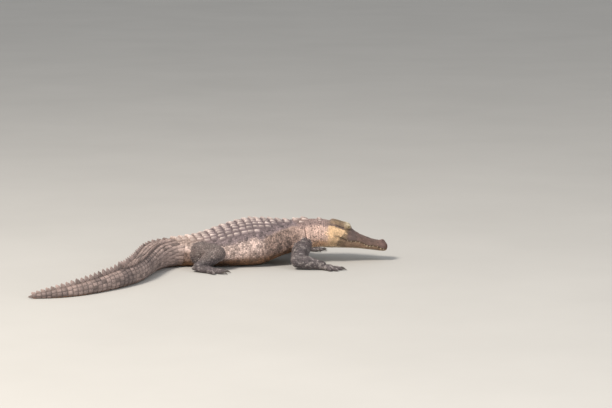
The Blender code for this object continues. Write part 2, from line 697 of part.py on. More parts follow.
def build_limbs():
    arm = [(0, 0.064), (0.45, 0.062), (0.8, 0.054), (1, 0.049)]
    forearm = [(0, 0.045), (0.35, 0.045), (0.8, 0.034), (1, 0.031)]
    thigh = [(0, 0.078), (0.4, 0.082), (0.8, 0.068), (1, 0.059)]
    shank = [(0, 0.053), (0.35, 0.053), (0.8, 0.037), (1, 0.033)]
    hand_palm = {"heel": 0.004, "length": 0.048, "height": 0.022, "width": 0.043, "flatness": 0.52}
    foot_palm = {"heel": 0.020, "length": 0.085, "height": 0.024, "width": 0.047, "flatness": 0.52}
    fingers = ((58, 30, 2, -26, -52), (0.086, 0.112, 0.120, 0.108, 0.082), 0.0125, 3, 0.50)
    toes = ((34, 12, -10, -32), (0.130, 0.158, 0.166, 0.142), 0.0145, 3, 0.72)
    arm_names = ("upper_arm", "forearm", "hand")
    leg_names = ("thigh", "shank", "foot")
    for limb, hand, side in ((ARM_RIGHT, 1, "right"), (ARM_LEFT, -1, "left")):
        build_limb(arm_names, limb, hand, side, arm, forearm, hand_palm, fingers, body_cutters())
    for limb, hand, side in ((LEG_RIGHT, 1, "right"), (LEG_LEFT, -1, "left")):
        build_limb(leg_names, limb, hand, side, thigh, shank, foot_palm, toes, body_cutters())


def main():
    for thing in list(bpy.data.objects):
        bpy.data.objects.remove(thing)
    build_body()
    build_head()
    build_limbs()


main()
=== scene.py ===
"""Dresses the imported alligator: one skin over head, body, tail and limbs, with its scutes, scales, eyes,
teeth and claws as pieces of their own, and a plain studio round it.

+X is where the head points, +Z is up, and the animal's right side faces -Y. Places on the body are given as
a distance along the spine from the tip of the snout, and a turn: 0 on the back, a quarter on the right
flank and half on the belly."""

import math

import bpy
import numpy as np
from bpy.props import FloatProperty, FloatVectorProperty, IntProperty, PointerProperty
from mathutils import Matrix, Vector
from mathutils.bvhtree import BVHTree
from mathutils.kdtree import KDTree


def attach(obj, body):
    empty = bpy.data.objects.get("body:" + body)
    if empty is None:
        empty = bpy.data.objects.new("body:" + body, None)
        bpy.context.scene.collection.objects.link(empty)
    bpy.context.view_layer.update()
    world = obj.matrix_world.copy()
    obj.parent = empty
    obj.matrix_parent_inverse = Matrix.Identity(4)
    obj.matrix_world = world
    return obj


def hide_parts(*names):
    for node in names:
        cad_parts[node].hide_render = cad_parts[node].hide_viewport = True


bl_info = {
    "name": "Alligator dresser",
    "version": (1, 0, 0),
    "blender": (4, 5, 0),
    "location": "View3D > Sidebar > Alligator",
    "description": "Builds the skin, scutes, scales, eyes, teeth and claws of a life-size alligator",
    "category": "Object",
}

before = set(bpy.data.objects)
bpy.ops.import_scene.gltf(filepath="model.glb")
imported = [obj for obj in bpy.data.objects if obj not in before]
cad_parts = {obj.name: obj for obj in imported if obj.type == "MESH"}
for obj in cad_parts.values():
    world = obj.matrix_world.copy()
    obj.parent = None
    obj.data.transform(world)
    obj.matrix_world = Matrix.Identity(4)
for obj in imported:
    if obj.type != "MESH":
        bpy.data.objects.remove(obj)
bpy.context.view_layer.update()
FULL_TURN = 2 * math.pi


def curve_through(keys):
    """A function that runs smoothly through the keys and never overshoots them."""
    x, y = np.array(keys, float).T
    step = np.diff(x)
    slope = np.diff(y) / step
    tangent = np.zeros_like(y)
    tangent[0] = slope[0]
    tangent[-1] = slope[-1]
    before = slope[:-1]
    after = slope[1:]
    weight_before = 2 * step[1:] + step[:-1]
    weight_after = step[1:] + 2 * step[:-1]
    turning = before * after <= 0
    safe_before = np.where(turning, 1, before)
    safe_after = np.where(turning, 1, after)
    mean = (weight_before + weight_after) / (weight_before / safe_before + weight_after / safe_after)
    tangent[1:-1] = np.where(turning, 0, mean)

    def value(at):
        at = np.clip(np.asarray(at, float), x[0], x[-1])
        i = np.clip(np.searchsorted(x, at, side="right") - 1, 0, len(step) - 1)
        t = (at - x[i]) / step[i]
        start = (1 + 2 * t) * (1 - t) ** 2 * y[i] + t * (1 - t) ** 2 * step[i] * tangent[i]
        end = t**2 * (3 - 2 * t) * y[i + 1] + t**2 * (t - 1) * step[i] * tangent[i + 1]
        return start + end

    return value


# The body, as in the solids: distance from the snout, then the value
TOTAL_LENGTH = 3.4
SPINE_STEPS = 1361
TRUNK_MIDDLE = 1.025
VENT = 1.6
TRUNK_X = 0.2298
TRUNK_Y = 0.4712
heading = curve_through([
    (0, 3), (0.46, 3), (0.66, 8), (1.1, 10), (1.45, 14), (1.65, 40), (1.85, 75), (2.1, 83), (2.35, 77),
    (2.6, 61), (2.9, 51), (3.1, 34), (3.25, 16), (3.4, 4)
])
axis_height = curve_through([
    (0, 0.086), (0.44, 0.2), (0.5, 0.209), (0.58, 0.207), (0.68, 0.194), (0.8, 0.172), (0.9, 0.153),
    (1.0, 0.139), (1.2, 0.13), (1.4, 0.111), (1.6, 0.099), (2.0, 0.089), (2.4, 0.072), (2.8, 0.053),
    (3.2, 0.029), (3.4, 0.012)
])
half_width = curve_through([
    (0, 0.014), (0.004, 0.034), (0.015, 0.054), (0.035, 0.071), (0.07, 0.084), (0.11, 0.087),
    (0.16, 0.095), (0.22, 0.105), (0.28, 0.118), (0.34, 0.134), (0.4, 0.151), (0.46, 0.161), (0.54, 0.157),
    (0.62, 0.17), (0.72, 0.207), (0.86, 0.255), (1.02, 0.284), (1.18, 0.282), (1.34, 0.24), (1.5, 0.182),
    (1.62, 0.148), (1.8, 0.119), (2.1, 0.087), (2.5, 0.06), (2.9, 0.038), (3.2, 0.022), (3.4, 0.007)
])
rise = curve_through([
    (0, 0.014), (0.006, 0.025), (0.03, 0.036), (0.07, 0.038), (0.125, 0.036), (0.2, 0.04), (0.25, 0.045),
    (0.3, 0.058), (0.36, 0.077), (0.44, 0.087), (0.5, 0.092), (0.58, 0.095), (0.66, 0.101), (0.74, 0.114),
    (0.84, 0.141), (0.94, 0.164), (1.02, 0.171), (1.12, 0.156), (1.22, 0.13), (1.34, 0.101),
    (1.46, 0.089), (1.6, 0.088), (1.8, 0.086), (2.1, 0.078), (2.5, 0.064), (2.9, 0.047), (3.2, 0.03),
    (3.4, 0.01)
])
drop = curve_through([
    (0, 0.01), (0.01, 0.021), (0.05, 0.03), (0.12, 0.041), (0.2, 0.055), (0.28, 0.072), (0.36, 0.089),
    (0.46, 0.104), (0.56, 0.108), (0.68, 0.11), (0.8, 0.114), (0.9, 0.127), (1.0, 0.143), (1.2, 0.136),
    (1.4, 0.117), (1.6, 0.104), (2.0, 0.094), (2.4, 0.077), (2.8, 0.057), (3.2, 0.033), (3.4, 0.013)
])
roundness_above = curve_through([
    (0, 2.4), (0.1, 2.7), (0.22, 2.5), (0.32, 2.1), (0.46, 2.1), (0.66, 2.2), (1.0, 2.3), (1.6, 2.2),
    (2.1, 2.0), (3.4, 1.9)
])
roundness_below = curve_through([
    (0, 2.2), (0.3, 2.4), (0.46, 2.3), (0.8, 2.4), (1.05, 3.0), (1.3, 3.0), (1.6, 2.6), (2.4, 2.3),
    (3.4, 2.2)
])

# The head
mouth_wave = curve_through([
    (0, 0.000), (0.035, -0.003), (0.085, 0.005), (0.15, -0.006), (0.225, 0.004), (0.3, -0.007),
    (0.36, 0.004), (0.4, 0.01), (0.46, 0.01), (0.6, 0.0)
])
table_height = curve_through([
    (0.245, 0), (0.276, 0.007), (0.317, 0.02), (0.37, 0.022), (0.425, 0.018), (0.452, 0)
])
table_half_width = curve_through([(0.245, 0.036), (0.315, 0.06), (0.35, 0.064), (0.44, 0.072)])
TABLE_EDGE = 0.014
HEAD_END = 0.5
EYE_AT = 0.32
# Swellings and hollows: height, distance along and its reach, distance out and its reach
HEAD_SWELLINGS = {
    "dish": (-0.003, 0.385, 0.04, 0, 0.03),
    "brow": (0.016, EYE_AT, 0.027, 0.045, 0.018),
    "trough": (-0.012, 0.312, 0.034, 0, 0.02),
    "ridge before the eye": (0.008, 0.255, 0.036, 0.036, 0.012),
    "middle line": (0.0022, 0.15, 0.055, 0, 0.012),
    "swelling over the teeth": (0.003, 0.155, 0.02, 0.062, 0.018),
    "nostril mound": (0.015, 0.044, 0.024, 0, 0.032),
    "waist": (-0.004, 0.115, 0.03, 0, 0.04),
}
jaw_inset = curve_through([(0, 0.004), (0.02, 0.0078), (0.31, 0.0078), (0.41, 0.0015), (0.46, 0)])
EYE_OUT = 0.053
EYE_UP = 0.0765
EYE_RADIUS = 0.0165
EYE_LID = 0.0048
CORNEA_ANGLE = 0.42
CORNEA_BULGE = 0.035
PUPIL_HALF_WIDTH = 0.0017
PUPIL_HALF_HEIGHT = 0.0078
PUPIL_COLOUR = (0.004, 0.003, 0.003)
IRIS_EDGE = 0.0105
IRIS_EDGE_COLOUR = (0.03, 0.022, 0.014)
SLIT_HALF_LENGTH = 0.015
SLIT_HALF_HEIGHT = 0.0078
NOSTRIL_AT = 0.04
NOSTRIL_OUT = 0.017
NOSTRIL_UP = 0.0535
EAR_FROM = 0.353
EAR_TO = 0.41
# Teeth: distance along, and length
TEETH = {0.03: 0.01, 0.052: 0.012, 0.078: 0.009, 0.112: 0.011, 0.134: 0.015, 0.156: 0.016, 0.178: 0.01,
         0.215: 0.009, 0.245: 0.012, 0.278: 0.01, 0.305: 0.008}
TOOTH_RADIUS = 0.0032

# Scutes of the neck, back and tail
SCUTE_ROW_PITCH = 0.052
FIRST_SCUTE_ROW = 0.732
scutes_per_side = curve_through([
    (0.7, 2.1), (0.8, 3.1), (0.9, 4.2), (1.00, 5.2), (1.24, 5.2), (1.34, 4.2), (1.46, 3.2), (1.6, 2.2)
])
scute_width = curve_through([(0.7, 0.042), (1.0, 0.05), (1.25, 0.048), (1.5, 0.04), (1.6, 0.037)])
# Plates of the nape: distance along, arc from the middle line, length, width and keel
NUCHALS = [(0.608, 0.03, 0.06, 0.05, 0.021), (0.666, 0.03, 0.056, 0.048, 0.02),
           (0.638, 0.08, 0.044, 0.036, 0.014), (0.506, 0.022, 0.032, 0.032, 0.01),
           (0.51, 0.062, 0.03, 0.03, 0.009)]
tail_pitch = curve_through([(1.6, 0.05), (2.2, 0.049), (2.7, 0.045), (3.4, 0.03)])
crest_apart = curve_through([(1.6, 0.052), (2.1, 0.04), (2.45, 0.026), (2.56, 0.015)])
CREST_MEETS = 2.56
crest_height = curve_through([
    (1.6, 0.018), (1.85, 0.026), (2.1, 0.038), (2.4, 0.05), (2.6, 0.056), (3.0, 0.046), (3.36, 0.02)
])

# Limbs. Radii are given by their share of the way along, spreads in degrees, the rest in metres
ARM = {"upper": [(0, 0.064), (0.45, 0.063), (0.8, 0.055), (1, 0.049)],
       "lower": [(0, 0.045), (0.3, 0.047), (0.8, 0.034), (1, 0.031)],
       "heel": 0.004, "palm": 0.048, "height": 0.022, "width": 0.043, "digit": 0.0125, "web": 0.5,
       "spreads": (58, 30, 2, -26, -52), "lengths": (0.086, 0.112, 0.12, 0.108, 0.082)}
LEG = {"upper": [(0, 0.078), (0.4, 0.083), (0.8, 0.069), (1, 0.059)],
       "lower": [(0, 0.053), (0.3, 0.055), (0.8, 0.037), (1, 0.033)],
       "heel": 0.02, "palm": 0.085, "height": 0.024, "width": 0.047, "digit": 0.0145, "web": 0.72,
       "spreads": (34, 12, -10, -32), "lengths": (0.13, 0.158, 0.166, 0.142)}
# Joints as (forward, out, up) from the middle of the trunk, out being away from the midline
LIMBS = {
    "arm_right": {"root": (0.385, 0.07, 0.135), "middle": (0.345, 0.335, 0.062),
                  "end": (0.52, 0.352, 0.032), "kind": ARM, "aim_deg": -12, "hand": 1},
    "arm_left": {"root": (0.355, 0.215, 0.135), "middle": (0.232, 0.432, 0.06),
                 "end": (0.395, 0.5, 0.032), "kind": ARM, "aim_deg": 22, "hand": -1},
    "leg_right": {"root": (-0.42, 0.15, 0.088), "middle": (-0.225, 0.372, 0.118),
                  "end": (-0.362, 0.44, 0.036), "kind": LEG, "aim_deg": -24, "hand": 1},
    "leg_left": {"root": (-0.465, 0.03, 0.088), "middle": (-0.335, 0.268, 0.112),
                 "end": (-0.49, 0.318, 0.036), "kind": LEG, "aim_deg": 30, "hand": -1},
}
PALM_FLATNESS = 0.52
# A digit: share of its length, then height, half width and half depth in its own radius
DIGIT_SHAPE = ((0.34, 0.95, 0.96, 0.98), (0.44, 1.0, 1.06, 1.06), (0.56, 0.9, 0.9, 0.92),
               (0.7, 0.88, 0.86, 0.88), (0.78, 0.98, 1.0, 1.0), (0.88, 0.84, 0.82, 0.86),
               (1, 0.72, 0.66, 0.72))
# A claw from its root to its point: reach past the digit's end, height, half width and half depth, all in the
# digit's radius
claw_reach = curve_through([(0, -0.5), (0.3, 0.6), (1, 2.9)])
claw_height = curve_through([(0, 0.74), (0.35, 0.92), (0.7, 0.68), (1, 0.13)])
claw_width = curve_through([(0, 0.58), (0.35, 0.47), (0.7, 0.29), (1, 0.03)])
claw_depth = curve_through([(0, 0.6), (0.35, 0.54), (0.7, 0.33), (1, 0.04)])
CLAWED_DIGITS = 3
HAND_TOP = 0.055

# How far before its end the tail narrows to a point
TIP_TAPER = 0.05

# The part of the skin that gets a finer mesh, as distances ahead of the middle of the trunk
FINE_FROM = 0.43
FINE_FULL = 0.6
FINE_GAIN = 2.05
FINE_OUT = 0.19

# The skin's map: where head, trunk and tail part, where each chart starts, where the limbs' chart starts with
# its size, and the width of the whole
CHART_CUTS = (0.66, VENT)
CHART_ORIGINS = ((0.98, 0.6), (-0.64, 0.6), (-1.58, 1.6))
LIMB_CHART = (1.7, 0.02, 0.76)
CHART_WIDTH = 2.48

# Rings of a scale: share of its outline, share of its height (none for the sunk edge), and how far it leans
CROWNED_RINGS = ((1.0, None, 0.0), (0.91, 0.5, 0.2), (0.62, 0.88, 0.6))
PLAIN_RINGS = ((1.0, None, 0.0), (0.86, 0.66, 0.2))
# Scales: neighbours that one looks at as it grows, how square its corners are, how far its edge is sunk in
# the skin, how much of the map it takes, and how far off the skin its place may lie
NEIGHBOURS = 10
CORNER_SHARPNESS = 7.0
SUNK = 0.0016
MAP_PATCH = 0.0014
FARTHEST_ROOT = 0.014

# The studio, in metres. Each light has its place, width and colour
FLOOR_REACH = 220
FLOOR_LEVEL = -0.002
LIGHTS = {"key": ((-7.5, -8.5, 12.5), 5.0, (1.0, 0.93, 0.83)),
          "fill": ((10.0, -9.0, 5.0), 7.0, (0.9, 0.95, 1.0))}
LIGHTS_AIM = (0, 0, 0.2)
SKY_COLOUR = (0.96, 0.975, 0.98, 1)
CAMERA_AIM = (TRUNK_X + 0.406, TRUNK_Y, 0.424)
SENSOR_WIDTH_MM = 36
FARTHEST_VIEW = 500

# How many points a search takes at a time
SEARCH_CHUNK = 20000
SEED_CHUNK = 4000


def make_spine():
    """Distances from the snout, with the axis point and the forward direction at each."""
    along = np.linspace(0, TOTAL_LENGTH, SPINE_STEPS)
    up = -np.gradient(axis_height(along), along)
    run = np.sqrt(1 - up**2)
    yaw = np.radians(heading(along))
    forward = np.stack([run * np.cos(yaw), run * np.sin(yaw), up], axis=1)
    step = along[1] - along[0]
    walked = np.cumsum((forward[1:] + forward[:-1]) / 2 * step, axis=0)
    points = np.vstack([np.zeros(3), -walked])
    middle = np.array([np.interp(TRUNK_MIDDLE, along, points[:, k]) for k in range(3)])
    points += np.array([TRUNK_X, TRUNK_Y, 0]) - middle
    points[:, 2] = axis_height(along)
    return along, points, forward


SPINE_ALONG, SPINE_POINTS, SPINE_FORWARD = make_spine()


def unit(vectors):
    return vectors / np.maximum(np.linalg.norm(vectors, axis=-1, keepdims=True), 1e-12)


def dot(first, second):
    return np.sum(np.asarray(first) * np.asarray(second), axis=-1)


def smooth_step(value):
    value = np.clip(value, 0, 1)
    return value * value * (3 - 2 * value)


def rises(value, start, width):
    """0 up to the start, 1 from a width past it."""
    return smooth_step((value - start) / width)


def falls(value, end, width):
    """0 from the end on, 1 up to a width before it."""
    return smooth_step((end - value) / width)


def bump(distance, reach):
    return np.exp(-((distance / reach) ** 2))


def level(angle):
    """The level direction at an angle from +X."""
    return np.array([math.cos(angle), math.sin(angle), 0])


def oval(centre, first, second, sides):
    """Points round a centre, from the two half axes."""
    angles = FULL_TURN * np.arange(sides) / sides
    return centre + np.outer(np.cos(angles), first) + np.outer(np.sin(angles), second)


def power(value, exponent):
    """A power that keeps the sign."""
    return np.sign(value) * np.abs(value) ** exponent


def spine_frame(along):
    """Axis point, and forward, right and up directions, at each distance from the snout."""
    along = np.asarray(along, float)
    point = np.stack([np.interp(along, SPINE_ALONG, SPINE_POINTS[:, k]) for k in range(3)], axis=-1)
    forward = unit(np.stack([np.interp(along, SPINE_ALONG, SPINE_FORWARD[:, k]) for k in range(3)], axis=-1))
    right = unit(np.cross(forward, (0, 0, 1)))
    return point, forward, right, np.cross(right, forward)


def body_surface(along, turn):
    """A point of the plain body at each distance along and turn."""
    along, turn = np.broadcast_arrays(np.asarray(along, float), np.asarray(turn, float))
    sine = np.sin(FULL_TURN * turn)
    cosine = np.cos(FULL_TURN * turn)
    above = cosine >= 0
    exponent = 2 / np.where(above, roundness_above(along), roundness_below(along))
    across = half_width(along) * power(sine, exponent)
    lip = mouth_wave(along)
    upward = lip + np.where(above, rise(along) - lip, drop(along) + lip) * power(cosine, exponent)
    point, _, right, up = spine_frame(along)
    place = point + right * across[..., None] + up * upward[..., None]
    place[..., 2] = np.maximum(place[..., 2], 0)
    return place


ARC_STATIONS = np.linspace(0, TOTAL_LENGTH, 341)
ARC_TURNS = np.linspace(0, 0.5, 121)


def make_arcs():
    """Length round the body from the middle of the back, at each station and turn."""
    ring = body_surface(ARC_STATIONS[:, None], ARC_TURNS[None, :])
    steps = np.linalg.norm(np.diff(ring, axis=1), axis=2)
    return np.hstack([np.zeros((len(ARC_STATIONS), 1)), np.cumsum(steps, axis=1)])


ARCS = make_arcs()


def half_girth(along):
    return np.interp(along, ARC_STATIONS, ARCS[:, -1])


def turn_at_arc(along, arc):
    """The turn that lies an arc's length from the middle of the back, to the right if it is positive."""
    along, arc = np.broadcast_arrays(np.asarray(along, float), np.asarray(arc, float))
    last = len(ARC_STATIONS) - 1
    rows = np.clip(np.round(along / TOTAL_LENGTH * last).astype(int), 0, last)
    turns = [np.interp(abs(a), ARCS[r], ARC_TURNS) for a, r in zip(arc.ravel(), rows.ravel())]
    return np.copysign(np.array(turns).reshape(arc.shape), arc)


def arc_at_turn(along, turn):
    """Length round the body from the middle of the back; past the belly it goes on growing."""
    size = np.abs(turn)
    folded = np.where(size > 0.5, 1 - size, size)
    rows = np.clip(along / TOTAL_LENGTH * (len(ARC_STATIONS) - 1), 0, len(ARC_STATIONS) - 1.001)
    columns = np.clip(folded / 0.5 * (len(ARC_TURNS) - 1), 0, len(ARC_TURNS) - 1.001)
    i = rows.astype(int)
    j = columns.astype(int)
    a = rows - i
    b = columns - j
    arc = (ARCS[i, j] * (1 - a) + ARCS[i + 1, j] * a) * (1 - b)
    arc += (ARCS[i, j + 1] * (1 - a) + ARCS[i + 1, j + 1] * a) * b
    arc = np.where(size > 0.5, 2 * half_girth(along) - arc, arc)
    return np.copysign(arc, turn)


def body_place(points):
    """Distance from the snout and turn of points on or near the body."""
    coarse = np.arange(0, len(SPINE_ALONG), 8)
    along = np.empty(len(points))
    for start in range(0, len(points), SEARCH_CHUNK):
        chunk = points[start:start + SEARCH_CHUNK]
        apart = ((chunk[:, None, :] - SPINE_POINTS[None, coarse, :]) ** 2).sum(axis=2)
        along[start:start + SEARCH_CHUNK] = SPINE_ALONG[coarse[np.argmin(apart, axis=1)]]
    for _ in range(3):
        point, forward, _, _ = spine_frame(along)
        along = np.clip(along - dot(points - point, forward), 0, TOTAL_LENGTH)
    point, _, right, up = spine_frame(along)
    lip = mouth_wave(along)
    upward = dot(points - point, up) - lip
    above = upward >= 0
    reach = np.where(above, rise(along) - lip, drop(along) + lip)
    half_power = np.where(above, roundness_above(along), roundness_below(along)) / 2
    sine = power(dot(points - point, right) / half_width(along), half_power)
    cosine = power(upward / reach, half_power)
    return along, np.arctan2(sine, cosine) / FULL_TURN


def value_noise(points, grain, seed=0):
    """Smooth noise from 0 to 1 at each point, with a grain in metres."""
    grid = np.asarray(points) / grain + seed * 17.13
    cell = np.floor(grid).astype(np.int64)
    part = smooth_step(grid - cell)
    total = np.zeros(len(grid))
    for corner in np.ndindex(2, 2, 2):
        x, y, z = (cell + np.array(corner)).T
        key = (x * 73856093) ^ (y * 19349663) ^ (z * 83492791)
        key = ((key ^ (key >> 13)) * 1274126177) & 0x7FFFFFFF
        weight = np.prod(np.where(np.array(corner), part, 1 - part), axis=1)
        total += weight * ((key % 65521) / 65520)
    return total


def layered_noise(points, grain, seed=0):
    """Noise of three grains together, about 0 to 1."""
    coarse = value_noise(points, grain, seed)
    middle = value_noise(points, grain * 0.45, seed + 1)
    return coarse * 0.55 + middle * 0.3 + value_noise(points, grain * 0.2, seed + 2) * 0.15


def tube(rings):
    """Points and quads of a closed skin over rings of equally many points. Fans close its ends."""
    rings = np.asarray(rings, float)
    count = rings.shape[1]
    points = np.vstack([rings.reshape(-1, 3), rings[0].mean(axis=0), rings[-1].mean(axis=0)])
    start = np.arange(len(rings) - 1)[:, None] * count
    i = np.arange(count)[None, :]
    j = (i + 1) % count
    quads = np.stack([start + i, start + j, start + count + j, start + count + i], axis=2).reshape(-1, 4)
    last = (len(rings) - 1) * count
    fans = [(len(points) - 2, b, a, a) for a, b in zip(i[0], j[0])]
    fans += [(len(points) - 1, last + a, last + b, last + b) for a, b in zip(i[0], j[0])]
    return points, np.vstack([quads, np.array(fans)])


def stack_up(parts):
    """Several (points, faces) as one."""
    before = np.cumsum([0] + [len(points) for points, _ in parts])
    faces = [part_faces + start for (_, part_faces), start in zip(parts, before)]
    return np.vstack([points for points, _ in parts]), np.vstack(faces)


def mesh_from(name, points, faces):
    """A mesh from arrays. A quad that names its last corner twice becomes a triangle."""
    faces = np.asarray(faces, dtype=np.int32)
    is_triangle = faces[:, 2] == faces[:, 3]
    keep = np.ones(faces.shape, bool)
    keep[:, 3] = ~is_triangle
    corners = faces[keep]
    ends = np.cumsum(np.where(is_triangle, 3, 4))
    mesh = bpy.data.meshes.new(name)
    mesh.vertices.add(len(points))
    mesh.vertices.foreach_set("co", np.asarray(points, np.float32).ravel())
    mesh.loops.add(len(corners))
    mesh.loops.foreach_set("vertex_index", corners.astype(np.int32))
    mesh.polygons.add(len(faces))
    mesh.polygons.foreach_set("loop_start", np.concatenate([[0], ends[:-1]]).astype(np.int32))
    mesh.update(calc_edges=True)
    mesh.validate()
    return mesh


def paint(mesh, colours):
    """Gives each point its colour, kept with the mesh for the materials."""
    layer = mesh.attributes.new("tint", "FLOAT_COLOR", "POINT")
    rgba = np.ones((len(mesh.vertices), 4), np.float32)
    rgba[:, :3] = np.clip(colours, 0, 1)
    layer.data.foreach_set("color", rgba.ravel())


def linked(name, data):
    """A new object in the scene."""
    thing = bpy.data.objects.new(name, data)
    bpy.context.scene.collection.objects.link(thing)
    return thing


def place_piece(name, mesh, material, nodes):
    """Puts a finished mesh in the scene as a piece of the animal."""
    mesh.materials.clear()
    mesh.materials.append(material)
    mesh.shade_smooth()
    before = bpy.data.objects.get(name)
    if before is not None:
        bpy.data.objects.remove(before)
    thing = linked(name, mesh)
    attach(thing, "root")
    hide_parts(*nodes)
    return thing


def head_relief(along, across):
    """Height that the skull table with its raised rim and the swellings add to the plain head."""
    away = np.abs(across)
    half_table = table_half_width(along)
    rim = 0.0035 * bump(away - half_table + 0.011, 0.006)
    rim = rim * rises(along, 0.325, 0.03) * falls(along, 0.45, 0.02)
    height = table_height(along) * smooth_step((half_table - away) / TABLE_EDGE + 0.5) + rim
    for high, at, reach, out, out_reach in HEAD_SWELLINGS.values():
        height = height + high * bump(along - at, reach) * bump(away - out, out_reach)
    return height


def head_tube():
    """The whole head as one closed surface, with the upper lip standing out over the lower jaw."""
    blunt_end = [0, 0.001, 0.003, 0.006, 0.01, 0.015, 0.021, 0.028]
    stations = np.concatenate([blunt_end, np.linspace(0.036, HEAD_END, 210)])
    over = np.linspace(0, math.pi / 2, 58)
    under = np.linspace(math.pi / 2, math.pi, 42)
    rings = []
    for along in stations:
        lip = mouth_wave(along)
        width = half_width(along)
        inset = jaw_inset(along)
        exponent = 2 / roundness_above(along)
        across = width * power(np.sin(over), exponent)
        dome = np.clip(np.cos(over), 0, 1) ** exponent
        upward = lip + (rise(along) - lip) * dome
        upward = upward + head_relief(along, across) * np.clip(dome * 3, 0, 1)
        shelf = np.linspace(0, 1, 6)[1:-1]
        across_shelf = width - inset * shelf
        upward_shelf = lip - 0.0012 * np.sin(math.pi * shelf)
        exponent = 2 / roundness_below(along)
        across_jaw = (width - inset) * power(np.sin(under), exponent)
        upward_jaw = lip - (drop(along) + lip) * np.abs(np.cos(under)) ** exponent
        jowl = 0.004 * bump(along - 0.425, 0.045) * np.sin(under) ** 2
        x = np.concatenate([across, across_shelf, across_jaw + jowl])
        z = np.concatenate([upward, upward_shelf, upward_jaw])
        x = np.concatenate([x, -x[-2:0:-1]])
        z = np.concatenate([z, z[-2:0:-1]])
        point, _, right, up = spine_frame(along)
        rings.append(point + np.outer(x, right) + np.outer(z, up))
    return tube(rings)


def trunk_tube():
    """Neck, trunk and tail as one closed surface."""
    stations = np.linspace(HEAD_END - 0.06, TOTAL_LENGTH, 600)
    turns = (np.arange(200) + 0.5) / 200
    rings = body_surface(stations[:, None], turns[None, :])
    middle = rings.mean(axis=1, keepdims=True)
    taper = np.sqrt(np.clip((TOTAL_LENGTH - stations) / TIP_TAPER, 0.02, 1))
    return tube(middle + (rings - middle) * taper[:, None, None])


def basis(direction):
    """Unit vectors along a direction, across it and above it."""
    ahead = unit(np.asarray(direction, float))
    side = unit(np.cross(ahead, (0, 0, 1)))
    return ahead, side, np.cross(side, ahead)


def limb_segment(start, end, radii, flatness=1.0, sides=44):
    """A tapered segment with round ends. radii are (share of the length, radius)."""
    ahead, side, above = basis(end - start)
    length = np.linalg.norm(end - start)
    shares, sizes = np.array(radii).T
    far = np.linspace(0, 1, 40)
    radius = curve_through(radii)(far) if len(radii) > 2 else np.interp(far, shares, sizes)
    nose = np.linspace(0.04, 1, 9)[:-1]
    before = [(-math.sqrt(1 - n**2) * sizes[0], n * sizes[0]) for n in nose]
    after = [(length + math.sqrt(1 - n**2) * sizes[-1], n * sizes[-1]) for n in nose[::-1]]
    rings = []
    for at, size in before + list(zip(far * length, radius)) + after:
        ring = oval(start + ahead * at, side * size, above * size * flatness, sides)
        ring[:, 2] = np.maximum(ring[:, 2], 0)
        rings.append(ring)
    return tube(rings)


def digit_tube(root, angle, places, sides, lowest=0.0):
    """A digit or claw, with a ring at each place: (ahead, height, half width, half depth)."""
    side = level(angle - math.pi / 2)
    rings = []
    for ahead, height, wide, deep in places:
        centre = np.array([root[0], root[1], height]) + level(angle) * ahead
        ring = oval(centre, side * wide, np.array([0, 0, deep]), sides)
        ring[:, 2] = np.maximum(ring[:, 2], lowest)
        rings.append(ring)
    return tube(rings)


def web_plate(root, first, second, reach, thickness):
    """The skin between two digits, thinner and drawn in at its free edge."""
    foot = np.array([root[0], root[1], 0])
    across = np.linspace(0, 1, 9)
    rays = [unit(first * (1 - side) + second * side) * reach * (1 - 0.16 * math.sin(math.pi * side))
            for side in across]
    rings = []
    for share in np.linspace(0, 1, 9):
        bottom = [foot + ray * share for ray in rays]
        top = [place + (0, 0, thickness * (1 - 0.35 * share)) for place in bottom]
        rings.append(top + bottom[::-1])
    return tube(rings)


def limb_joints(limb):
    """Places of the root, the elbow or knee, and the wrist or ankle."""
    return [np.array([TRUNK_X + f, TRUNK_Y - limb["hand"] * o, u]) for f, o, u in
            (limb["root"], limb["middle"], limb["end"])]


def limb_digits(limb):
    """Where a limb's knuckles are, with the direction angle, length and radius of each of its digits."""
    kind = limb["kind"]
    aim = math.radians(limb["aim_deg"])
    knuckles = limb_joints(limb)[2] + level(aim) * kind["palm"] * 0.55
    angles = [aim + math.radians(limb["hand"] * spread_deg) for spread_deg in kind["spreads"]]
    return knuckles, list(zip(angles, kind["lengths"])), kind["digit"]


def limb_tubes(limb):
    """All the closed tubes of one limb: two segments, palm, digits and web."""
    kind = limb["kind"]
    root, middle, end = limb_joints(limb)
    ahead = level(math.radians(limb["aim_deg"]))
    heel = end - ahead * kind["heel"]
    heel[2] = kind["height"]
    palm_end = end + ahead * kind["palm"]
    palm_end[2] = kind["height"] * 0.8
    palm = [(0, kind["width"] * 0.62), (0.45, kind["width"] * 0.85), (1, kind["width"])]
    parts = [limb_segment(root, middle, kind["upper"]), limb_segment(middle, end, kind["lower"]),
             limb_segment(heel, palm_end, palm, PALM_FLATNESS)]
    knuckles, digits, r = limb_digits(limb)
    for number, (angle, length) in enumerate(digits):
        stations = [(0.012, 1.1 * r, 1.2 * r, 1.15 * r)]
        stations += [(share * length, *(size * r for size in sizes)) for share, *sizes in DIGIT_SHAPE]
        if number >= CLAWED_DIGITS:
            stations.append((length + 0.45 * r, 0.62 * r, 0.36 * r, 0.42 * r))
        columns = np.array(stations).T
        far = np.linspace(columns[0, 0], columns[0, -1], 34)
        places = zip(far, *[np.interp(far, columns[0], column) for column in columns[1:]])
        parts.append(digit_tube(knuckles, angle, places, 18))
    for (first, length), (second, other_length) in zip(digits, digits[1:]):
        reach = kind["web"] * min(length, other_length)
        parts.append(web_plate(knuckles, level(first), level(second), reach, r * 0.95))
    return stack_up(parts)


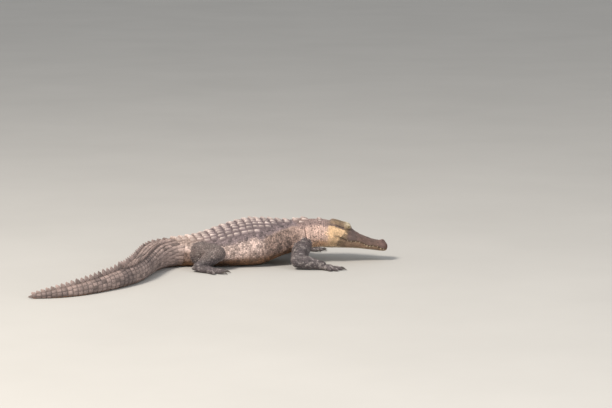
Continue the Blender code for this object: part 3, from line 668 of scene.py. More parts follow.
def ball_tube(centre, radii, axes, latitudes, sides, bulge=0.0):
    """A ball with its radii along the three axes given, and its first pole pushed out by a share."""
    rings = []
    for latitude in latitudes:
        out = centre + axes[0] * radii[0] * (1 + bulge * bump(latitude, CORNEA_ANGLE)) * math.cos(latitude)
        reach = math.sin(latitude)
        rings.append(oval(out, axes[1] * radii[1] * reach, axes[2] * radii[2] * reach, sides))
    return tube(rings)


def head_point(along, across, upward):
    """A place in the head's own frame."""
    point, _, right, up = spine_frame(along)
    return point + right * across + up * upward


def ear_height(along):
    """Height above the axis of the ears, just under the edge of the skull table."""
    return rise(along) * 0.985


def eye_frame(hand):
    """Centre of an eyeball, and its outward, forward and upward axes."""
    _, forward, right, up = spine_frame(EYE_AT)
    centre = head_point(EYE_AT, hand * EYE_OUT, EYE_UP)
    outward = unit(right * hand * 0.93 + up * 0.3 + forward * 0.2)
    along = unit(forward - outward * dot(forward, outward))
    return centre, outward, along, np.cross(outward, along) * hand


def stretch_table():
    """How far each place along x is moved so that the head gets more of the skin's mesh."""
    x = np.linspace(-2.5, 2.5, 5001)
    gain = 1 + (FINE_GAIN - 1) * rises(x - TRUNK_X, FINE_FROM, FINE_FULL - FINE_FROM)
    moved = np.concatenate([[0], np.cumsum((gain[1:] + gain[:-1]) / 2 * np.diff(x))])
    return x, gain, moved + x[0]


STRETCH_X, STRETCH_GAIN, STRETCH_MOVED = stretch_table()


def stretched(points):
    factor = np.interp(points[:, 0], STRETCH_X, STRETCH_GAIN)
    out = points[:, 1] - TRUNK_Y
    across = out + (factor - 1) * np.clip(out, -FINE_OUT, FINE_OUT)
    x = np.interp(points[:, 0], STRETCH_X, STRETCH_MOVED)
    return np.stack([x, across, points[:, 2] * factor], axis=1)


def unstretched(points):
    x = np.interp(points[:, 0], STRETCH_MOVED, STRETCH_X)
    factor = np.interp(x, STRETCH_X, STRETCH_GAIN)
    inner = np.abs(points[:, 1]) <= FINE_OUT * factor
    beyond = points[:, 1] - np.sign(points[:, 1]) * (factor - 1) * FINE_OUT
    across = np.where(inner, points[:, 1] / factor, beyond) + TRUNK_Y
    return np.stack([x, across, points[:, 2] / factor], axis=1)


def voxel_skin(points, faces, size):
    """One closed surface over all the overlapping forms."""
    thing = linked("forms", mesh_from("forms", stretched(points), faces))
    remesh = thing.modifiers.new("one skin", "REMESH")
    remesh.mode = "VOXEL"
    remesh.voxel_size = size
    remesh.adaptivity = 0
    graph = bpy.context.evaluated_depsgraph_get()
    result = bpy.data.meshes.new_from_object(thing.evaluated_get(graph))
    bpy.data.objects.remove(thing)
    count = len(result.vertices)
    flat = np.empty(count * 3, np.float32)
    result.vertices.foreach_get("co", flat)
    corners = np.empty(len(result.loops), np.int32)
    result.loops.foreach_get("vertex_index", corners)
    bpy.data.meshes.remove(result)
    return unstretched(flat.reshape(-1, 3).astype(float)), corners.reshape(-1, 4)


def search_tree(points, faces):
    return BVHTree.FromPolygons(points.tolist(), [list(dict.fromkeys(face)) for face in faces.tolist()])


def nearest(tree, points):
    """Place, normal, face and distance of the nearest surface for each point."""
    places, normals, faces, apart = zip(*[tree.find_nearest(point) for point in points.tolist()])
    return np.array(places), np.array(normals), np.array(faces), np.array(apart)


def edge_pairs(faces):
    pairs = np.vstack([faces[:, [k, (k + 1) % 4]] for k in range(4)])
    return np.unique(np.sort(pairs, axis=1), axis=0)


def relax(points, pairs, weight, rounds):
    """Moves each row of values towards the mean of its neighbours, by its weight."""
    count = len(points)
    ends = np.concatenate([pairs[:, 0], pairs[:, 1]])
    others = np.concatenate([pairs[:, 1], pairs[:, 0]])
    links = np.bincount(ends, minlength=count)
    for _ in range(rounds):
        totals = [np.bincount(ends, weights=column[others], minlength=count) for column in points.T]
        points = points + (np.stack(totals, axis=1) / links[:, None] - points) * weight[:, None]
    return points


def point_normals(points, faces):
    first = points[faces[:, 2]] - points[faces[:, 0]]
    second = points[faces[:, 3]] - points[faces[:, 1]]
    face_normals = np.cross(first, second)
    total = np.zeros_like(points)
    for k in range(3):
        for corners in faces.T:
            total[:, k] += np.bincount(corners, weights=face_normals[:, k], minlength=len(points))
    return unit(total)


def scattered(points, grain, seed):
    """Points picked so that they lie about a grain apart."""
    taken = {}
    picked = []
    cells = np.floor(points / grain).astype(int)
    around = list(np.ndindex(3, 3, 3))
    for k in np.random.default_rng(seed).permutation(len(points)).tolist():
        x, y, z = cells[k].tolist()
        near = [taken.get((x + a - 1, y + b - 1, z + c - 1)) for a, b, c in around]
        if all(np.sum((points[k] - points[other]) ** 2) > grain**2 for other in near if other is not None):
            taken[(x, y, z)] = k
            picked.append(k)
    return points[picked]


def nearest_seeds(points, seeds):
    """Distance to the nearest seed and to the next one, and which seed is nearest."""
    first = np.empty(len(points))
    second = np.empty(len(points))
    which = np.empty(len(points), int)
    for start in range(0, len(points), SEED_CHUNK):
        end = start + SEED_CHUNK
        chunk = points[start:end]
        apart = (chunk**2).sum(axis=1)[:, None] + (seeds**2).sum(axis=1)[None, :] - 2 * chunk @ seeds.T
        two = np.argpartition(apart, 1, axis=1)[:, :2]
        pair = np.take_along_axis(apart, two, axis=1)
        order = np.argsort(pair, axis=1)
        pair = np.sqrt(np.maximum(np.take_along_axis(pair, order, axis=1), 0))
        first[start:end] = pair[:, 0]
        second[start:end] = pair[:, 1]
        which[start:end] = np.take_along_axis(two, order, axis=1)[:, 0]
    return first, second, which


def creases(place, pitch, width, wander):
    """Depth from 0 to 1 of creases that cross a direction about a pitch apart, wandering as they go."""
    shifted = place / pitch + wander
    apart = np.abs(shifted - np.round(shifted)) * pitch
    return bump(apart, width)


def body_folds(points, along, turn, depth):
    """Height of the folds and wrinkles of neck, shoulders, flanks and tail."""
    size = np.abs(turn)
    noise = layered_noise(points, 0.09, 3)
    fine = layered_noise(points, 0.035, 5)
    side = rises(size, 0.1, 0.05) * falls(size, 0.46, 0.06)
    neck = side * rises(along, 0.47, 0.03) * falls(along, 0.72, 0.05)
    height = -depth * neck * creases(along + 0.02 * turn, 0.021, 0.0042, noise * 1.6) * (0.5 + fine)
    fold = rises(size, 0.11, 0.05) * falls(size, 0.4, 0.06)
    line = along - 0.628 - 0.035 * (size - 0.2) - 0.01 * (noise - 0.5)
    height += fold * (-3.0 * depth * bump(line, 0.0075) + 1.6 * depth * bump(line - 0.02, 0.014))
    height += fold * 1.2 * depth * bump(line + 0.02, 0.014)
    flank = rises(size, 0.15, 0.04) * falls(size, 0.4, 0.06)
    flank = flank * rises(along, 0.66, 0.04) * falls(along, 1.02, 0.12)
    slant = along + 0.3 * (size - 0.2)
    height -= 1.3 * depth * flank * creases(slant, 0.034, 0.006, noise * 1.5) * (0.4 + fine)
    rear = rises(size, 0.2, 0.05) * falls(size, 0.42, 0.06)
    rear = rear * rises(along, 1.02, 0.1) * falls(along, 1.46, 0.06)
    height -= 0.6 * depth * rear * creases(size * 0.9, 0.04, 0.006, noise * 1.2) * fine
    throat = rises(size, 0.38, 0.05) * rises(along, 0.36, 0.04) * falls(along, 0.7, 0.05)
    height -= 0.6 * depth * throat * creases(along, 0.026, 0.005, noise)
    tail = rises(along, VENT, 0.04)
    whorls = np.interp(along, TAIL_WHORLS, np.arange(len(TAIL_WHORLS)))
    near_line = np.abs(whorls + 0.5 - np.round(whorls + 0.5)) * tail_pitch(along)
    height -= 0.5 * depth * tail * bump(near_line, 0.0045)
    return height + 0.0012 * (fine - 0.5) * rises(along, 0.46, 0.05)


def tail_whorl_places():
    """Where each whorl of tail scutes stands."""
    places = [VENT + 0.5 * tail_pitch(VENT)]
    while places[-1] < TOTAL_LENGTH - 0.06:
        places.append(places[-1] + tail_pitch(places[-1]))
    return np.array(places)


TAIL_WHORLS = tail_whorl_places()


def carve_eyes_and_nostrils(points):
    """Opens the lids down to behind the eyeball, folds the skin round them, and sinks the nostrils."""
    for hand in (1, -1):
        centre, outward, forward, above = eye_frame(hand)
        local = points - centre
        ahead = dot(local, forward)
        high = dot(local, above)
        radius = np.linalg.norm(local, axis=1)
        ring = np.hypot(ahead / SLIT_HALF_LENGTH, high / SLIT_HALF_HEIGHT)
        outer = (radius < 0.05) & (dot(local, outward) > 0)
        inside = outer & (ring < 1)
        behind = (EYE_RADIUS - 0.0012) / np.maximum(radius, 1e-6)
        upper = smooth_step(high / 0.008 + 0.5)
        lids = 0.0013 * bump(ring - 1.12, 0.16) + 0.0024 * upper * bump(ring - 1.5, 0.3)
        folds = -0.0017 * bump(ring - 2.05, 0.17) - 0.0012 * (1 - upper) * bump(ring - 2.75, 0.17)
        brim = outer & (ring >= 1)
        points[inside] = centre + local[inside] * np.minimum(behind, 1)[inside, None]
        points[brim] += outward * (lids + folds)[brim, None]
        _, forward, right, up = spine_frame(NOSTRIL_AT)
        local = points - head_point(NOSTRIL_AT, hand * NOSTRIL_OUT, NOSTRIL_UP)
        ahead = dot(local, forward)
        across = dot(local, right) * hand
        bowl = np.hypot(ahead / 0.0125, (across - 30 * ahead**2) / 0.008)
        close = np.abs(dot(local, up)) < 0.03
        sink = -0.014 * np.sqrt(np.clip(1 - bowl**2, 0, 1)) + 0.0026 * bump(bowl - 1.45, 0.35)
        points[close] += up * sink[close, None]
    return points


def build_skin(sizes):
    """The skin's points and faces, and what the pieces on it need to know of it."""
    lids = []
    for hand in (1, -1):
        centre, outward, forward, above = eye_frame(hand)
        lid = EYE_RADIUS + EYE_LID
        latitudes = np.linspace(0, math.pi, 28)[1:-1]
        lids.append(ball_tube(centre, (lid, lid * 1.25, lid), (outward, forward, above), latitudes, 40))
    body = stack_up([head_tube(), trunk_tube()] + lids)
    limbs = [limb_tubes(limb) for limb in LIMBS.values()]
    limb_points, limb_faces = stack_up(limbs)
    source_points, source_faces = stack_up([body, (limb_points, limb_faces)])
    points, faces = voxel_skin(source_points, source_faces, sizes.mesh_size)
    points, _, touched, _ = nearest(search_tree(source_points, source_faces), points)
    ends = np.cumsum([len(body[1])] + [len(part[1]) for part in limbs])
    owner = np.searchsorted(ends, touched, side="right")
    close = np.where((np.abs(points[:, 0] - TRUNK_X) < 0.8) & (points[:, 2] < 0.33))[0]
    apart = np.ones(len(points))
    body_tree = search_tree(*body)
    limb_tree = search_tree(limb_points, limb_faces)
    on_body = close[owner[close] == 0]
    on_limb = close[owner[close] > 0]
    apart[on_body] = nearest(limb_tree, points[on_body])[3]
    apart[on_limb] = nearest(body_tree, points[on_limb])[3]
    pairs = edge_pairs(faces)
    points = relax(points, pairs, 0.6 * bump(apart, sizes.fillet), 45)
    points = relax(points, pairs, np.where(owner > 0, 0.4, 0.12), 5)
    kinds = np.stack([owner > 0, owner > 2], axis=1).astype(float)
    limb_share, leg_share = relax(kinds, pairs, np.full(len(points), 0.5), 60).T
    along, turn = body_place(points)
    normals = point_normals(points, faces)
    trunk = (owner == 0) & (along > HEAD_END - 0.03)
    height = np.zeros(len(points))
    height[trunk] = body_folds(points[trunk], along[trunk], turn[trunk], sizes.wrinkle)
    limb = owner > 0
    wander = layered_noise(points[limb], 0.06, 11)
    rough = layered_noise(points[limb], 0.025, 13)
    lines = creases(points[limb, 0] + points[limb, 1], 0.022, 0.0045, wander * 2)
    height[limb] = -0.5 * sizes.wrinkle * lines * rough
    head = np.where((owner == 0) & (along < HEAD_END + 0.02))[0]
    seeds = scattered(points[head], 0.011, 7)
    first, second, which = nearest_seeds(points[head], seeds)
    hard = smooth_step((0.22 - np.abs(turn[head])) / 0.05)
    mosaic = -0.0012 * bump((second - first) / 2, 0.0018) + 0.0009 * (1 - np.clip(first / 0.0065, 0, 1) ** 2)
    bone = 0.0036 * (layered_noise(points[head], 0.014, 17) - 0.5) * hard
    blend = smooth_step((HEAD_END + 0.02 - along[head]) / 0.04)
    height[head] += (mosaic * (1 - 0.45 * hard) + bone) * blend
    points = points + normals * (height * np.clip(points[:, 2] / 0.012, 0, 1))[:, None]
    points[head] = carve_eyes_and_nostrils(points[head])
    points[:, 2] = np.maximum(points[:, 2], 0)
    cell = np.full(len(points), 0.5)
    cell[head] = np.random.default_rng(19).random(len(seeds))[which]
    return {"points": points, "faces": faces, "owner": owner, "along": along, "turn": turn,
            "crease": height, "cell": cell, "normals": point_normals(points, faces), "limb_share": limb_share,
            "leg_share": leg_share}


def chart_places(skin):
    """A place on a flat unwrap for each corner of the body's faces, in metres, with each face's chart."""
    faces = skin["faces"]
    face_along = skin["along"][faces].mean(axis=1)
    turn = skin["turn"][faces]
    angle = FULL_TURN * turn
    middle = np.arctan2(np.sin(angle).mean(axis=1), np.cos(angle).mean(axis=1)) / FULL_TURN
    turn = turn + np.round(middle[:, None] - turn)
    arc = arc_at_turn(skin["along"][faces], turn)
    return np.stack([skin["along"][faces], arc], axis=2), np.digitize(face_along, CHART_CUTS)


def unwrap_skin(thing, skin):
    """Gives the skin its map, with charts along the spine and projected ones for the limbs. Returns each
    face's place on it."""
    mesh = thing.data
    mesh.uv_layers.active = mesh.uv_layers.new(name="OFBake")
    on_limb = (skin["owner"][skin["faces"]] > 0).sum(axis=1) >= 2
    mesh.polygons.foreach_set("select", on_limb)
    bpy.context.view_layer.objects.active = thing
    thing.select_set(True)
    bpy.ops.object.mode_set(mode="EDIT")
    bpy.ops.uv.smart_project(angle_limit=1.15, island_margin=0.004)
    bpy.ops.object.mode_set(mode="OBJECT")
    thing.select_set(False)
    layer = mesh.uv_layers["OFBake"]
    flat = np.empty(len(mesh.loops) * 2, np.float32)
    layer.uv.foreach_get("vector", flat)
    corners = flat.reshape(-1, 4, 2).astype(float)
    corners = corners * LIMB_CHART[2] + np.array(LIMB_CHART[:2])
    places, chart = chart_places(skin)
    origin = np.array(CHART_ORIGINS)[chart]
    corners[~on_limb] = (places + origin[:, None, :])[~on_limb]
    corners /= CHART_WIDTH
    layer.uv.foreach_set("vector", corners.reshape(-1).astype(np.float32))
    return corners.mean(axis=1)


def blend_colours(first, second, share):
    return first * (1 - share[:, None]) + second * share[:, None]


def hide_colours(skin, palette):
    """Base colour of the hide at each point of the skin, from its place on the body."""
    points, along, size = skin["points"], skin["along"], np.abs(skin["turn"])
    wide = layered_noise(points, 0.12, 23)
    mid = layered_noise(points, 0.035, 29)
    fine = layered_noise(points, 0.018, 31)
    ragged = mid - 0.5

    def laid(ground, *layers):
        """The colour of the ground, with each (colour, share) laid over what comes before it."""
        colours = np.ones((len(points), 1)) * palette[ground]
        for name, share in layers:
            colours = blend_colours(colours, palette[name], share)
        return colours

    shield = scutes_per_side(along) * scute_width(along) / np.maximum(half_girth(along), 0.05) / 2
    edge = np.where((along > 0.7) & (along < VENT), shield, 0.1) - 0.05 * (wide - 0.5)
    colours = laid(
        "back",
        ("rump", rises(along, 1.3, 0.2)),
        ("flank_pale", rises(size - edge, 0.005, 0.04)),
        ("flank", smooth_step((size - edge - 0.075 + 0.04 * ragged) / 0.07)),
        ("flank", 0.92 * smooth_step((1.02 - along + 0.1 * ragged) / 0.1) * rises(size, edge, 0.04)),
        ("low_flank", smooth_step((size - 0.285 + 0.05 * (wide - 0.5)) / 0.07)),
        ("belly", rises(size, 0.4, 0.06)),
    )
    streaks = layered_noise(points * (1, 1, 0.22), 0.02, 61)
    on_flank = rises(size - edge, 0.01, 0.03) * falls(size, 0.39, 0.03)
    colours = colours * (1 - 0.4 * on_flank * rises(streaks, 0.5, 0.16))[:, None]

    nape = laid(
        "nape",
        ("neck_side", smooth_step((size - 0.115 + 0.06 * ragged) / 0.06)),
        ("neck_low", smooth_step((size - 0.27 + 0.06 * ragged) / 0.08)),
        ("belly", rises(size, 0.39, 0.05)),
    )
    colours = blend_colours(colours, nape, smooth_step((0.7 - along + 0.04 * ragged) / 0.06))

    tail = laid("tail", ("tail_dark", rises(wide, 0.45, 0.25)), ("low_flank", rises(size, 0.36, 0.08)))
    colours = blend_colours(colours, tail, smooth_step((along - VENT + 0.03) / 0.08))

    patchy = 0.05 * ragged + 0.05 * (fine - 0.5) + 0.02 * (skin["cell"] - 0.5)
    cheek_front = smooth_step((along - 0.312 - 0.2 * (size - 0.12) + patchy) / 0.035)
    # Pale brow patches with a painted highlight where light catches the bony lid over each eye
    brow_highlight_places = [centre + above * 0.017 for centre, _, _, above in (eye_frame(1), eye_frame(-1))]
    skull = laid(
        "snout",
        ("snout_root", bump(along - 0.272, 0.036)),
        ("snout_mound", bump(along - 0.05, 0.022)),
        ("snout_tip", falls(along, 0.034, 0.03)),
        ("skull", smooth_step((along - 0.3 + 0.03 * ragged) / 0.03)),
        # Painted shade: a dark band under the edge of the skull table
        ("painted_ear_shade", 0.85 * (bump(size - 0.092, 0.024) * rises(along, 0.335, 0.02))),
        ("jowl", smooth_step((size - 0.112 + 0.6 * patchy) / 0.022) * cheek_front),
        ("jaw", rises(size, 0.232, 0.03) * smooth_step((0.39 - along + 0.05 * ragged) / 0.08)),
        ("belly", smooth_step((size - 0.36 + 0.06 * ragged) / 0.06)),
        *(("brow", 0.95 * bump(np.linalg.norm(points - place, axis=1), 0.023)) for place in brow_highlight_places),
    )
    colours = blend_colours(colours, skull, smooth_step((0.5 - along + 0.1 * ragged) / 0.09))

    upper_leg = smooth_step(skin["leg_share"] * 2) * rises(points[:, 2], 0.06, 0.05)
    limb = laid("limb", ("limb_pale", rises(fine, 0.54, 0.12)), ("thigh", 0.65 * upper_leg))
    on_limb = rises(skin["limb_share"] + 0.8 * ragged + 0.5 * (fine - 0.5), 0.32, 0.3)
    colours = blend_colours(colours, limb, on_limb)
    return colours * (0.84 + 0.32 * mid)[:, None]


class SkinGuide:
    """The finished skin, for placing the pieces on it."""

    def __init__(self, skin, face_maps, hide):
        self.skin = skin
        self.tree = search_tree(skin["points"], skin["faces"])
        self.face_maps = face_maps
        self.face_owner = skin["owner"][skin["faces"][:, 0]]
        self.face_hide = hide[skin["faces"]].mean(axis=1)

    def roots(self, points, ahead):
        """What a piece has to know of the skin nearest to each point. Its axes lie along the skin."""
        places, _, faces, apart = nearest(self.tree, points)
        normals = unit(self.skin["normals"][self.skin["faces"][faces]].mean(axis=1))
        ahead = np.broadcast_to(ahead, places.shape)
        ahead = unit(ahead - normals * dot(ahead, normals)[:, None])
        return {"place": places, "normal": normals, "ahead": ahead, "side": np.cross(ahead, normals),
                "map": self.face_maps[faces], "owner": self.face_owner[faces], "hide": self.face_hide[faces],
                "apart": apart}


def chosen(roots, keep):
    return {name: values[keep] for name, values in roots.items()}


def compass(sides):
    """Directions of an outline's corners: ahead, then to the side."""
    angles = FULL_TURN * (np.arange(sides) + 0.5) / sides
    return np.stack([np.cos(angles), np.sin(angles)])


def oblong_outlines(roots, fill, sides, corner, seed):
    """Outlines with rounded corners that fill their cells of the grid."""
    chance = np.random.default_rng(seed)
    count = len(roots["place"])
    wobble = 1 + 0.08 * (chance.random((count, sides)) - 0.5)
    grow = 0.92 + 0.14 * chance.random(count)
    cell = roots["cell"] * fill * grow[:, None] / 2
    return power(compass(sides), 2 / corner).T[None] * wobble[..., None] * cell[:, None, :]


def packed_outlines(roots, widest, fill, sides):
    """Outlines that grow until they meet their neighbours or their widest reach, with rounded corners."""
    places = roots["place"]
    tree = KDTree(len(places))
    for number, place in enumerate(places.tolist()):
        tree.insert(place, number)
    tree.balance()
    near = np.array([[other for _, other, _ in tree.find_n(place, NEIGHBOURS + 1)]
                     for place in places.tolist()])
    step = places[near[:, 1:]] - places[:, None, :]
    local = np.stack([dot(step, roots["ahead"][:, None, :]), dot(step, roots["side"][:, None, :])], axis=2)
    closing = 2 * local @ compass(sides) / dot(step, step)[..., None]
    crowd = (np.clip(closing, 0, None) ** CORNER_SHARPNESS).sum(axis=1)
    crowd = crowd + np.broadcast_to(1 / np.asarray(widest), len(places))[:, None] ** CORNER_SHARPNESS
    reach = fill * crowd ** (-1 / CORNER_SHARPNESS)
    return reach[..., None] * compass(sides).T[None]


def scale_domes(guide, roots, outline, height, colours, lean, crown=True):
    """Low closed domes set into the skin, from the outline, height and colour of each."""
    count, sides, _ = outline.shape
    rings = CROWNED_RINGS if crown else PLAIN_RINGS
    lean_back = lean * np.abs(outline[..., 0]).max(axis=1)
    points = []
    maps = []
    shades = []
    for share, up, shift in rings:
        far = outline[..., 0] * share - shift * lean_back[:, None]
        out = outline[..., 1] * share
        flat = roots["place"][:, None] + roots["ahead"][:, None] * far[..., None]
        flat = flat + roots["side"][:, None] * out[..., None]
        on_skin = nearest(guide.tree, flat.reshape(-1, 3))[0].reshape(count, sides, 3)
        lift = np.full(count, -SUNK) if up is None else up * height
        points.append(on_skin + roots["normal"][:, None] * lift[:, None, None])
        maps.append(roots["map"][:, None] + compass(sides).T[None] * share * MAP_PATCH)
        # Painted shade and highlight: each scale is darker at its sunk edge and lighter towards its top
        shades.append(np.full((count, sides), 0.62 if up is None else 0.8 + 0.22 * up))
    top = roots["place"] - roots["ahead"] * lean_back[:, None] + roots["normal"] * height[:, None]
    points = np.concatenate(points + [top[:, None]], axis=1)
    maps = np.concatenate(maps + [roots["map"][:, None]], axis=1)
    shades = np.concatenate(shades + [np.full((count, 1), 1.06)], axis=1)
    per = points.shape[1]
    i = np.arange(sides)
    j = (i + 1) % sides
    pattern = [np.stack([a + i, a + sides + i, a + sides + j, a + j], axis=1)
               for a in range(0, (len(rings) - 1) * sides, sides)]
    last = (len(rings) - 1) * sides
    pattern.append(np.stack([last + i, np.full(sides, per - 1), last + j, last + j], axis=1))
    faces = (np.vstack(pattern)[None] + (np.arange(count) * per)[:, None, None]).reshape(-1, 4)
    tint = colours[:, None, :] * shades[..., None]
    return points.reshape(-1, 3), faces, maps.reshape(-1, 2), tint.reshape(-1, 3)


def coat_piece(name, parts, finish, nodes):
    """One piece with a finish of hide or horn, from several batches of (points, faces, maps, tints)."""
    points, faces = stack_up([(p, f) for p, f, _, _ in parts])
    mesh = mesh_from(name, points, faces)
    layer = mesh.uv_layers.new(name="OFBake")
    corners = np.empty(len(mesh.loops), np.int32)
    mesh.loops.foreach_get("vertex_index", corners)
    layer.uv.foreach_set("vector", np.vstack([m for _, _, m, _ in parts])[corners].astype(np.float32).ravel())
    paint(mesh, np.vstack([t for _, _, _, t in parts]))
    material = hide_material(finish) if finish in FINISHES else horn_material(finish)
    place_piece(name, mesh, material, nodes)


def body_grid(stations, row_pitch, pitch, from_arc, to_arc, seed, jitter, kept=1.0):
    """Staggered places between two arcs on both flanks: distance along, arc, row pitch and column pitch.
    kept is the share of them that stays."""
    chance = np.random.default_rng(seed)
    found = []
    for row, along in enumerate(stations):
        start = float(from_arc(along))
        end = float(to_arc(along))
        count = max(int(round((end - start) / pitch)), 0)
        for hand in (-1, 1):
            for column in range(count):
                arc = start + (column + 0.5 + 0.5 * (row % 2)) * pitch
                dx, dy = (chance.random(2) - 0.5) * jitter
                if arc < end + pitch / 2 and chance.random() < kept:
                    found.append((along + dx * row_pitch, hand * (arc + dy * pitch), row_pitch, pitch))
    return np.array(found)


def shield_half_width(along):
    """Half the width of the scuted part of the back, along the skin."""
    return np.floor(scutes_per_side(along)) * scute_width(along)


def plate_root(guide, along, arc):
    """The root of one plate, and its axes and place on the map."""
    root = guide.roots(body_surface(along, turn_at_arc(along, arc))[None, :], spine_frame(along)[1])
    return [root[name][0] for name in ("place", "normal", "ahead", "side", "map")]


def scute_plate(guide, along, arc, length, width, keel, seed, colour, worn, rows, columns, base):
    """One keeled plate of bone and horn: a rounded outline, and a narrow ridge that climbs to the rear and is
    painted pale, partly for wear and partly as a painted highlight. Its rim is darkened with painted shade."""
    chance = np.random.default_rng(seed)
    centre, normal, ahead, side, spot = plate_root(guide, along, arc)
    u = np.linspace(1, -1, rows)[:, None] * np.ones((1, columns))
    v = np.linspace(-1, 1, columns)[None, :] * np.ones((rows, 1))
    ragged = 1 + 0.04 * (chance.random((rows, columns)) - 0.5)
    x = u * (1 - 0.1 * v**2 * u**2) * length / 2 * ragged
    y = v * (1 - 0.13 * u**4) * width / 2 * ragged
    rim = np.minimum((1 - np.abs(u)) / 0.16, (1 - np.abs(v)) / 0.18)
    edge = smooth_step(rim)
    away = np.abs(v - 0.14 * (chance.random() - 0.5))
    blade = 0.34 * np.clip(1 - away / 0.95, 0, 1) ** 1.3 + 0.66 * np.clip(1 - away / 0.3, 0, 1) ** 1.1
    climb = (0.22 + 0.78 * falls(u, 0.9, 1.4)) * falls(u, 1, 0.35) * smooth_step((1 + u) / 0.45)
    height = keel * (0.86 + 0.28 * chance.random())
    bumps = 0.0009 * (chance.random((rows, columns)) - 0.5) * edge
    lift = base * edge + height * blade * climb + bumps - 0.003 * (1 - edge) * (rim < 0.05)
    x = x - 0.2 * height * blade * climb
    flat = centre + ahead * x[..., None] + side * y[..., None]
    on_skin = nearest(guide.tree, flat.reshape(-1, 3))[0].reshape(rows, columns, 3)
    points = on_skin + normal * lift[..., None]
    index = np.arange(rows * columns).reshape(rows, columns)
    faces = np.stack([index[:-1, :-1], index[:-1, 1:], index[1:, 1:], index[1:, :-1]], axis=2).reshape(-1, 4)
    spots = np.stack([u, v], axis=2) * MAP_PATCH * 2 + spot
    # Painted highlight with wear: the ridge of the keel is painted pale, partly wear and partly light falling
    # on it
    wear_and_highlight_share = np.clip(blade * climb * 1.5, 0, 1)[..., None] ** 1.15 * (0.6 + 0.4 * chance.random())
    # Painted shade: each plate is darker towards its sunk rim, where the gaps between plates lie in shade
    tint = colour * (0.5 + 0.5 * edge[..., None]) * (1 - wear_and_highlight_share) + worn * wear_and_highlight_share
    tint = tint.reshape(-1, 3) * (0.84 + 0.32 * chance.random())
    return points.reshape(-1, 3), faces, spots.reshape(-1, 2), tint


def crest_flap(guide, along, arc, length, thickness, height, seed, colour, rows=12, count=18):
    """One upright flap of the tail: broad at its root, swept back to a rounded point."""
    chance = np.random.default_rng(seed)
    centre, normal, ahead, side, spot = plate_root(guide, along, arc)
    height = height * (0.92 + 0.12 * chance.random())
    over = np.linspace(0, 1, rows)[:, None] * np.ones((1, count))
    around = np.linspace(0, FULL_TURN, count, endpoint=False)[None, :] * np.ones((rows, 1))
    front = length * (0.54 - 0.24 * over**1.8)
    rear = -length * (0.5 + 0.16 * over)
    x = (front + rear) / 2 + (front - rear) / 2 * np.cos(around) * np.sqrt(1 - 0.93 * over**4.6)
    y = np.sin(around) * thickness * (0.14 + 0.86 * (1 - over) ** 0.8)
    z = -0.01 + (height + 0.01) * over * (1 - 0.1 * over * np.cos(around))
    points = centre + ahead * x[..., None] + side * y[..., None] + normal * z[..., None]
    flat = np.vstack([points.reshape(-1, 3), points[-1].mean(axis=0) + normal * 0.0008])
    i = np.arange(count)
    j = (i + 1) % count
    faces = [np.stack([start + i, start + j, start + count + j, start + count + i], axis=1)
             for start in range(0, (rows - 1) * count, count)]
    point = np.full(count, rows * count)
    faces.append(np.stack([(rows - 1) * count + i, (rows - 1) * count + j, point, point], axis=1))
    spots = np.stack([np.cos(around), over * 2 - 1], axis=2) * MAP_PATCH * 2 + spot
    spots = np.vstack([spots.reshape(-1, 2), spot + (0, MAP_PATCH * 2)])
    # Darker towards the root and paler at the top: painted shade between the flaps, and tips pale from wear
    shade = (0.45 + 0.8 * over**0.8) * (0.95 + 0.1 * np.cos(around * 3 + over * 9))
    tint = np.vstack([(colour * shade[..., None]).reshape(-1, 3), colour * 1.1])
    return flat, np.vstack(faces), spots, tint * (0.88 + 0.24 * chance.random())


# Hide and horn: sizes in metres of blotches, specks, grain and cracks, roughness where dull and where shiny,
# depth of the relief in metres, and how dark the painted shade in cracks and pits is
FINISHES = {
    "wrinkled hide": (0.05, 0.006, 0.003, 0.0085, 0.7, 0.46, 0.0008, 0.26, 0.16),
    "weathered scute": (0.045, 0.005, 0.002, 0.0048, 0.7, 0.42, 0.0009, 0.14, 0.22),
    "nape scute": (0.04, 0.005, 0.002, 0.005, 0.7, 0.42, 0.0009, 0.14, 0.22),
    "crest horn": (0.04, 0.005, 0.002, 0.005, 0.68, 0.42, 0.0008, 0.12, 0.2),
    "tail hide": (0.05, 0.005, 0.0022, 0.0055, 0.7, 0.45, 0.0008, 0.1, 0.16),
    "flank scale": (0.05, 0.005, 0.002, 0.0045, 0.72, 0.48, 0.0006, 0.07, 0.06),
    "belly scale": (0.06, 0.007, 0.003, 0.007, 0.66, 0.45, 0.0005, 0.06, 0),
    "neck scale": (0.045, 0.005, 0.002, 0.0045, 0.72, 0.48, 0.0006, 0.07, 0.06),
    "limb scale": (0.035, 0.005, 0.002, 0.0042, 0.62, 0.38, 0.0006, 0.08, 0.06),
    "eyelid rim": (0.012, 0.003, 0.001, 0.002, 0.55, 0.35, 0.0003, 0.05, 0),
    "ear flap": (0.02, 0.004, 0.0015, 0.004, 0.65, 0.45, 0.0005, 0.06, 0),
}


# Horn and enamel: roughness where shiny
HORN_ROUGHNESS = {"tooth enamel": 0.22, "claw horn": 0.28}


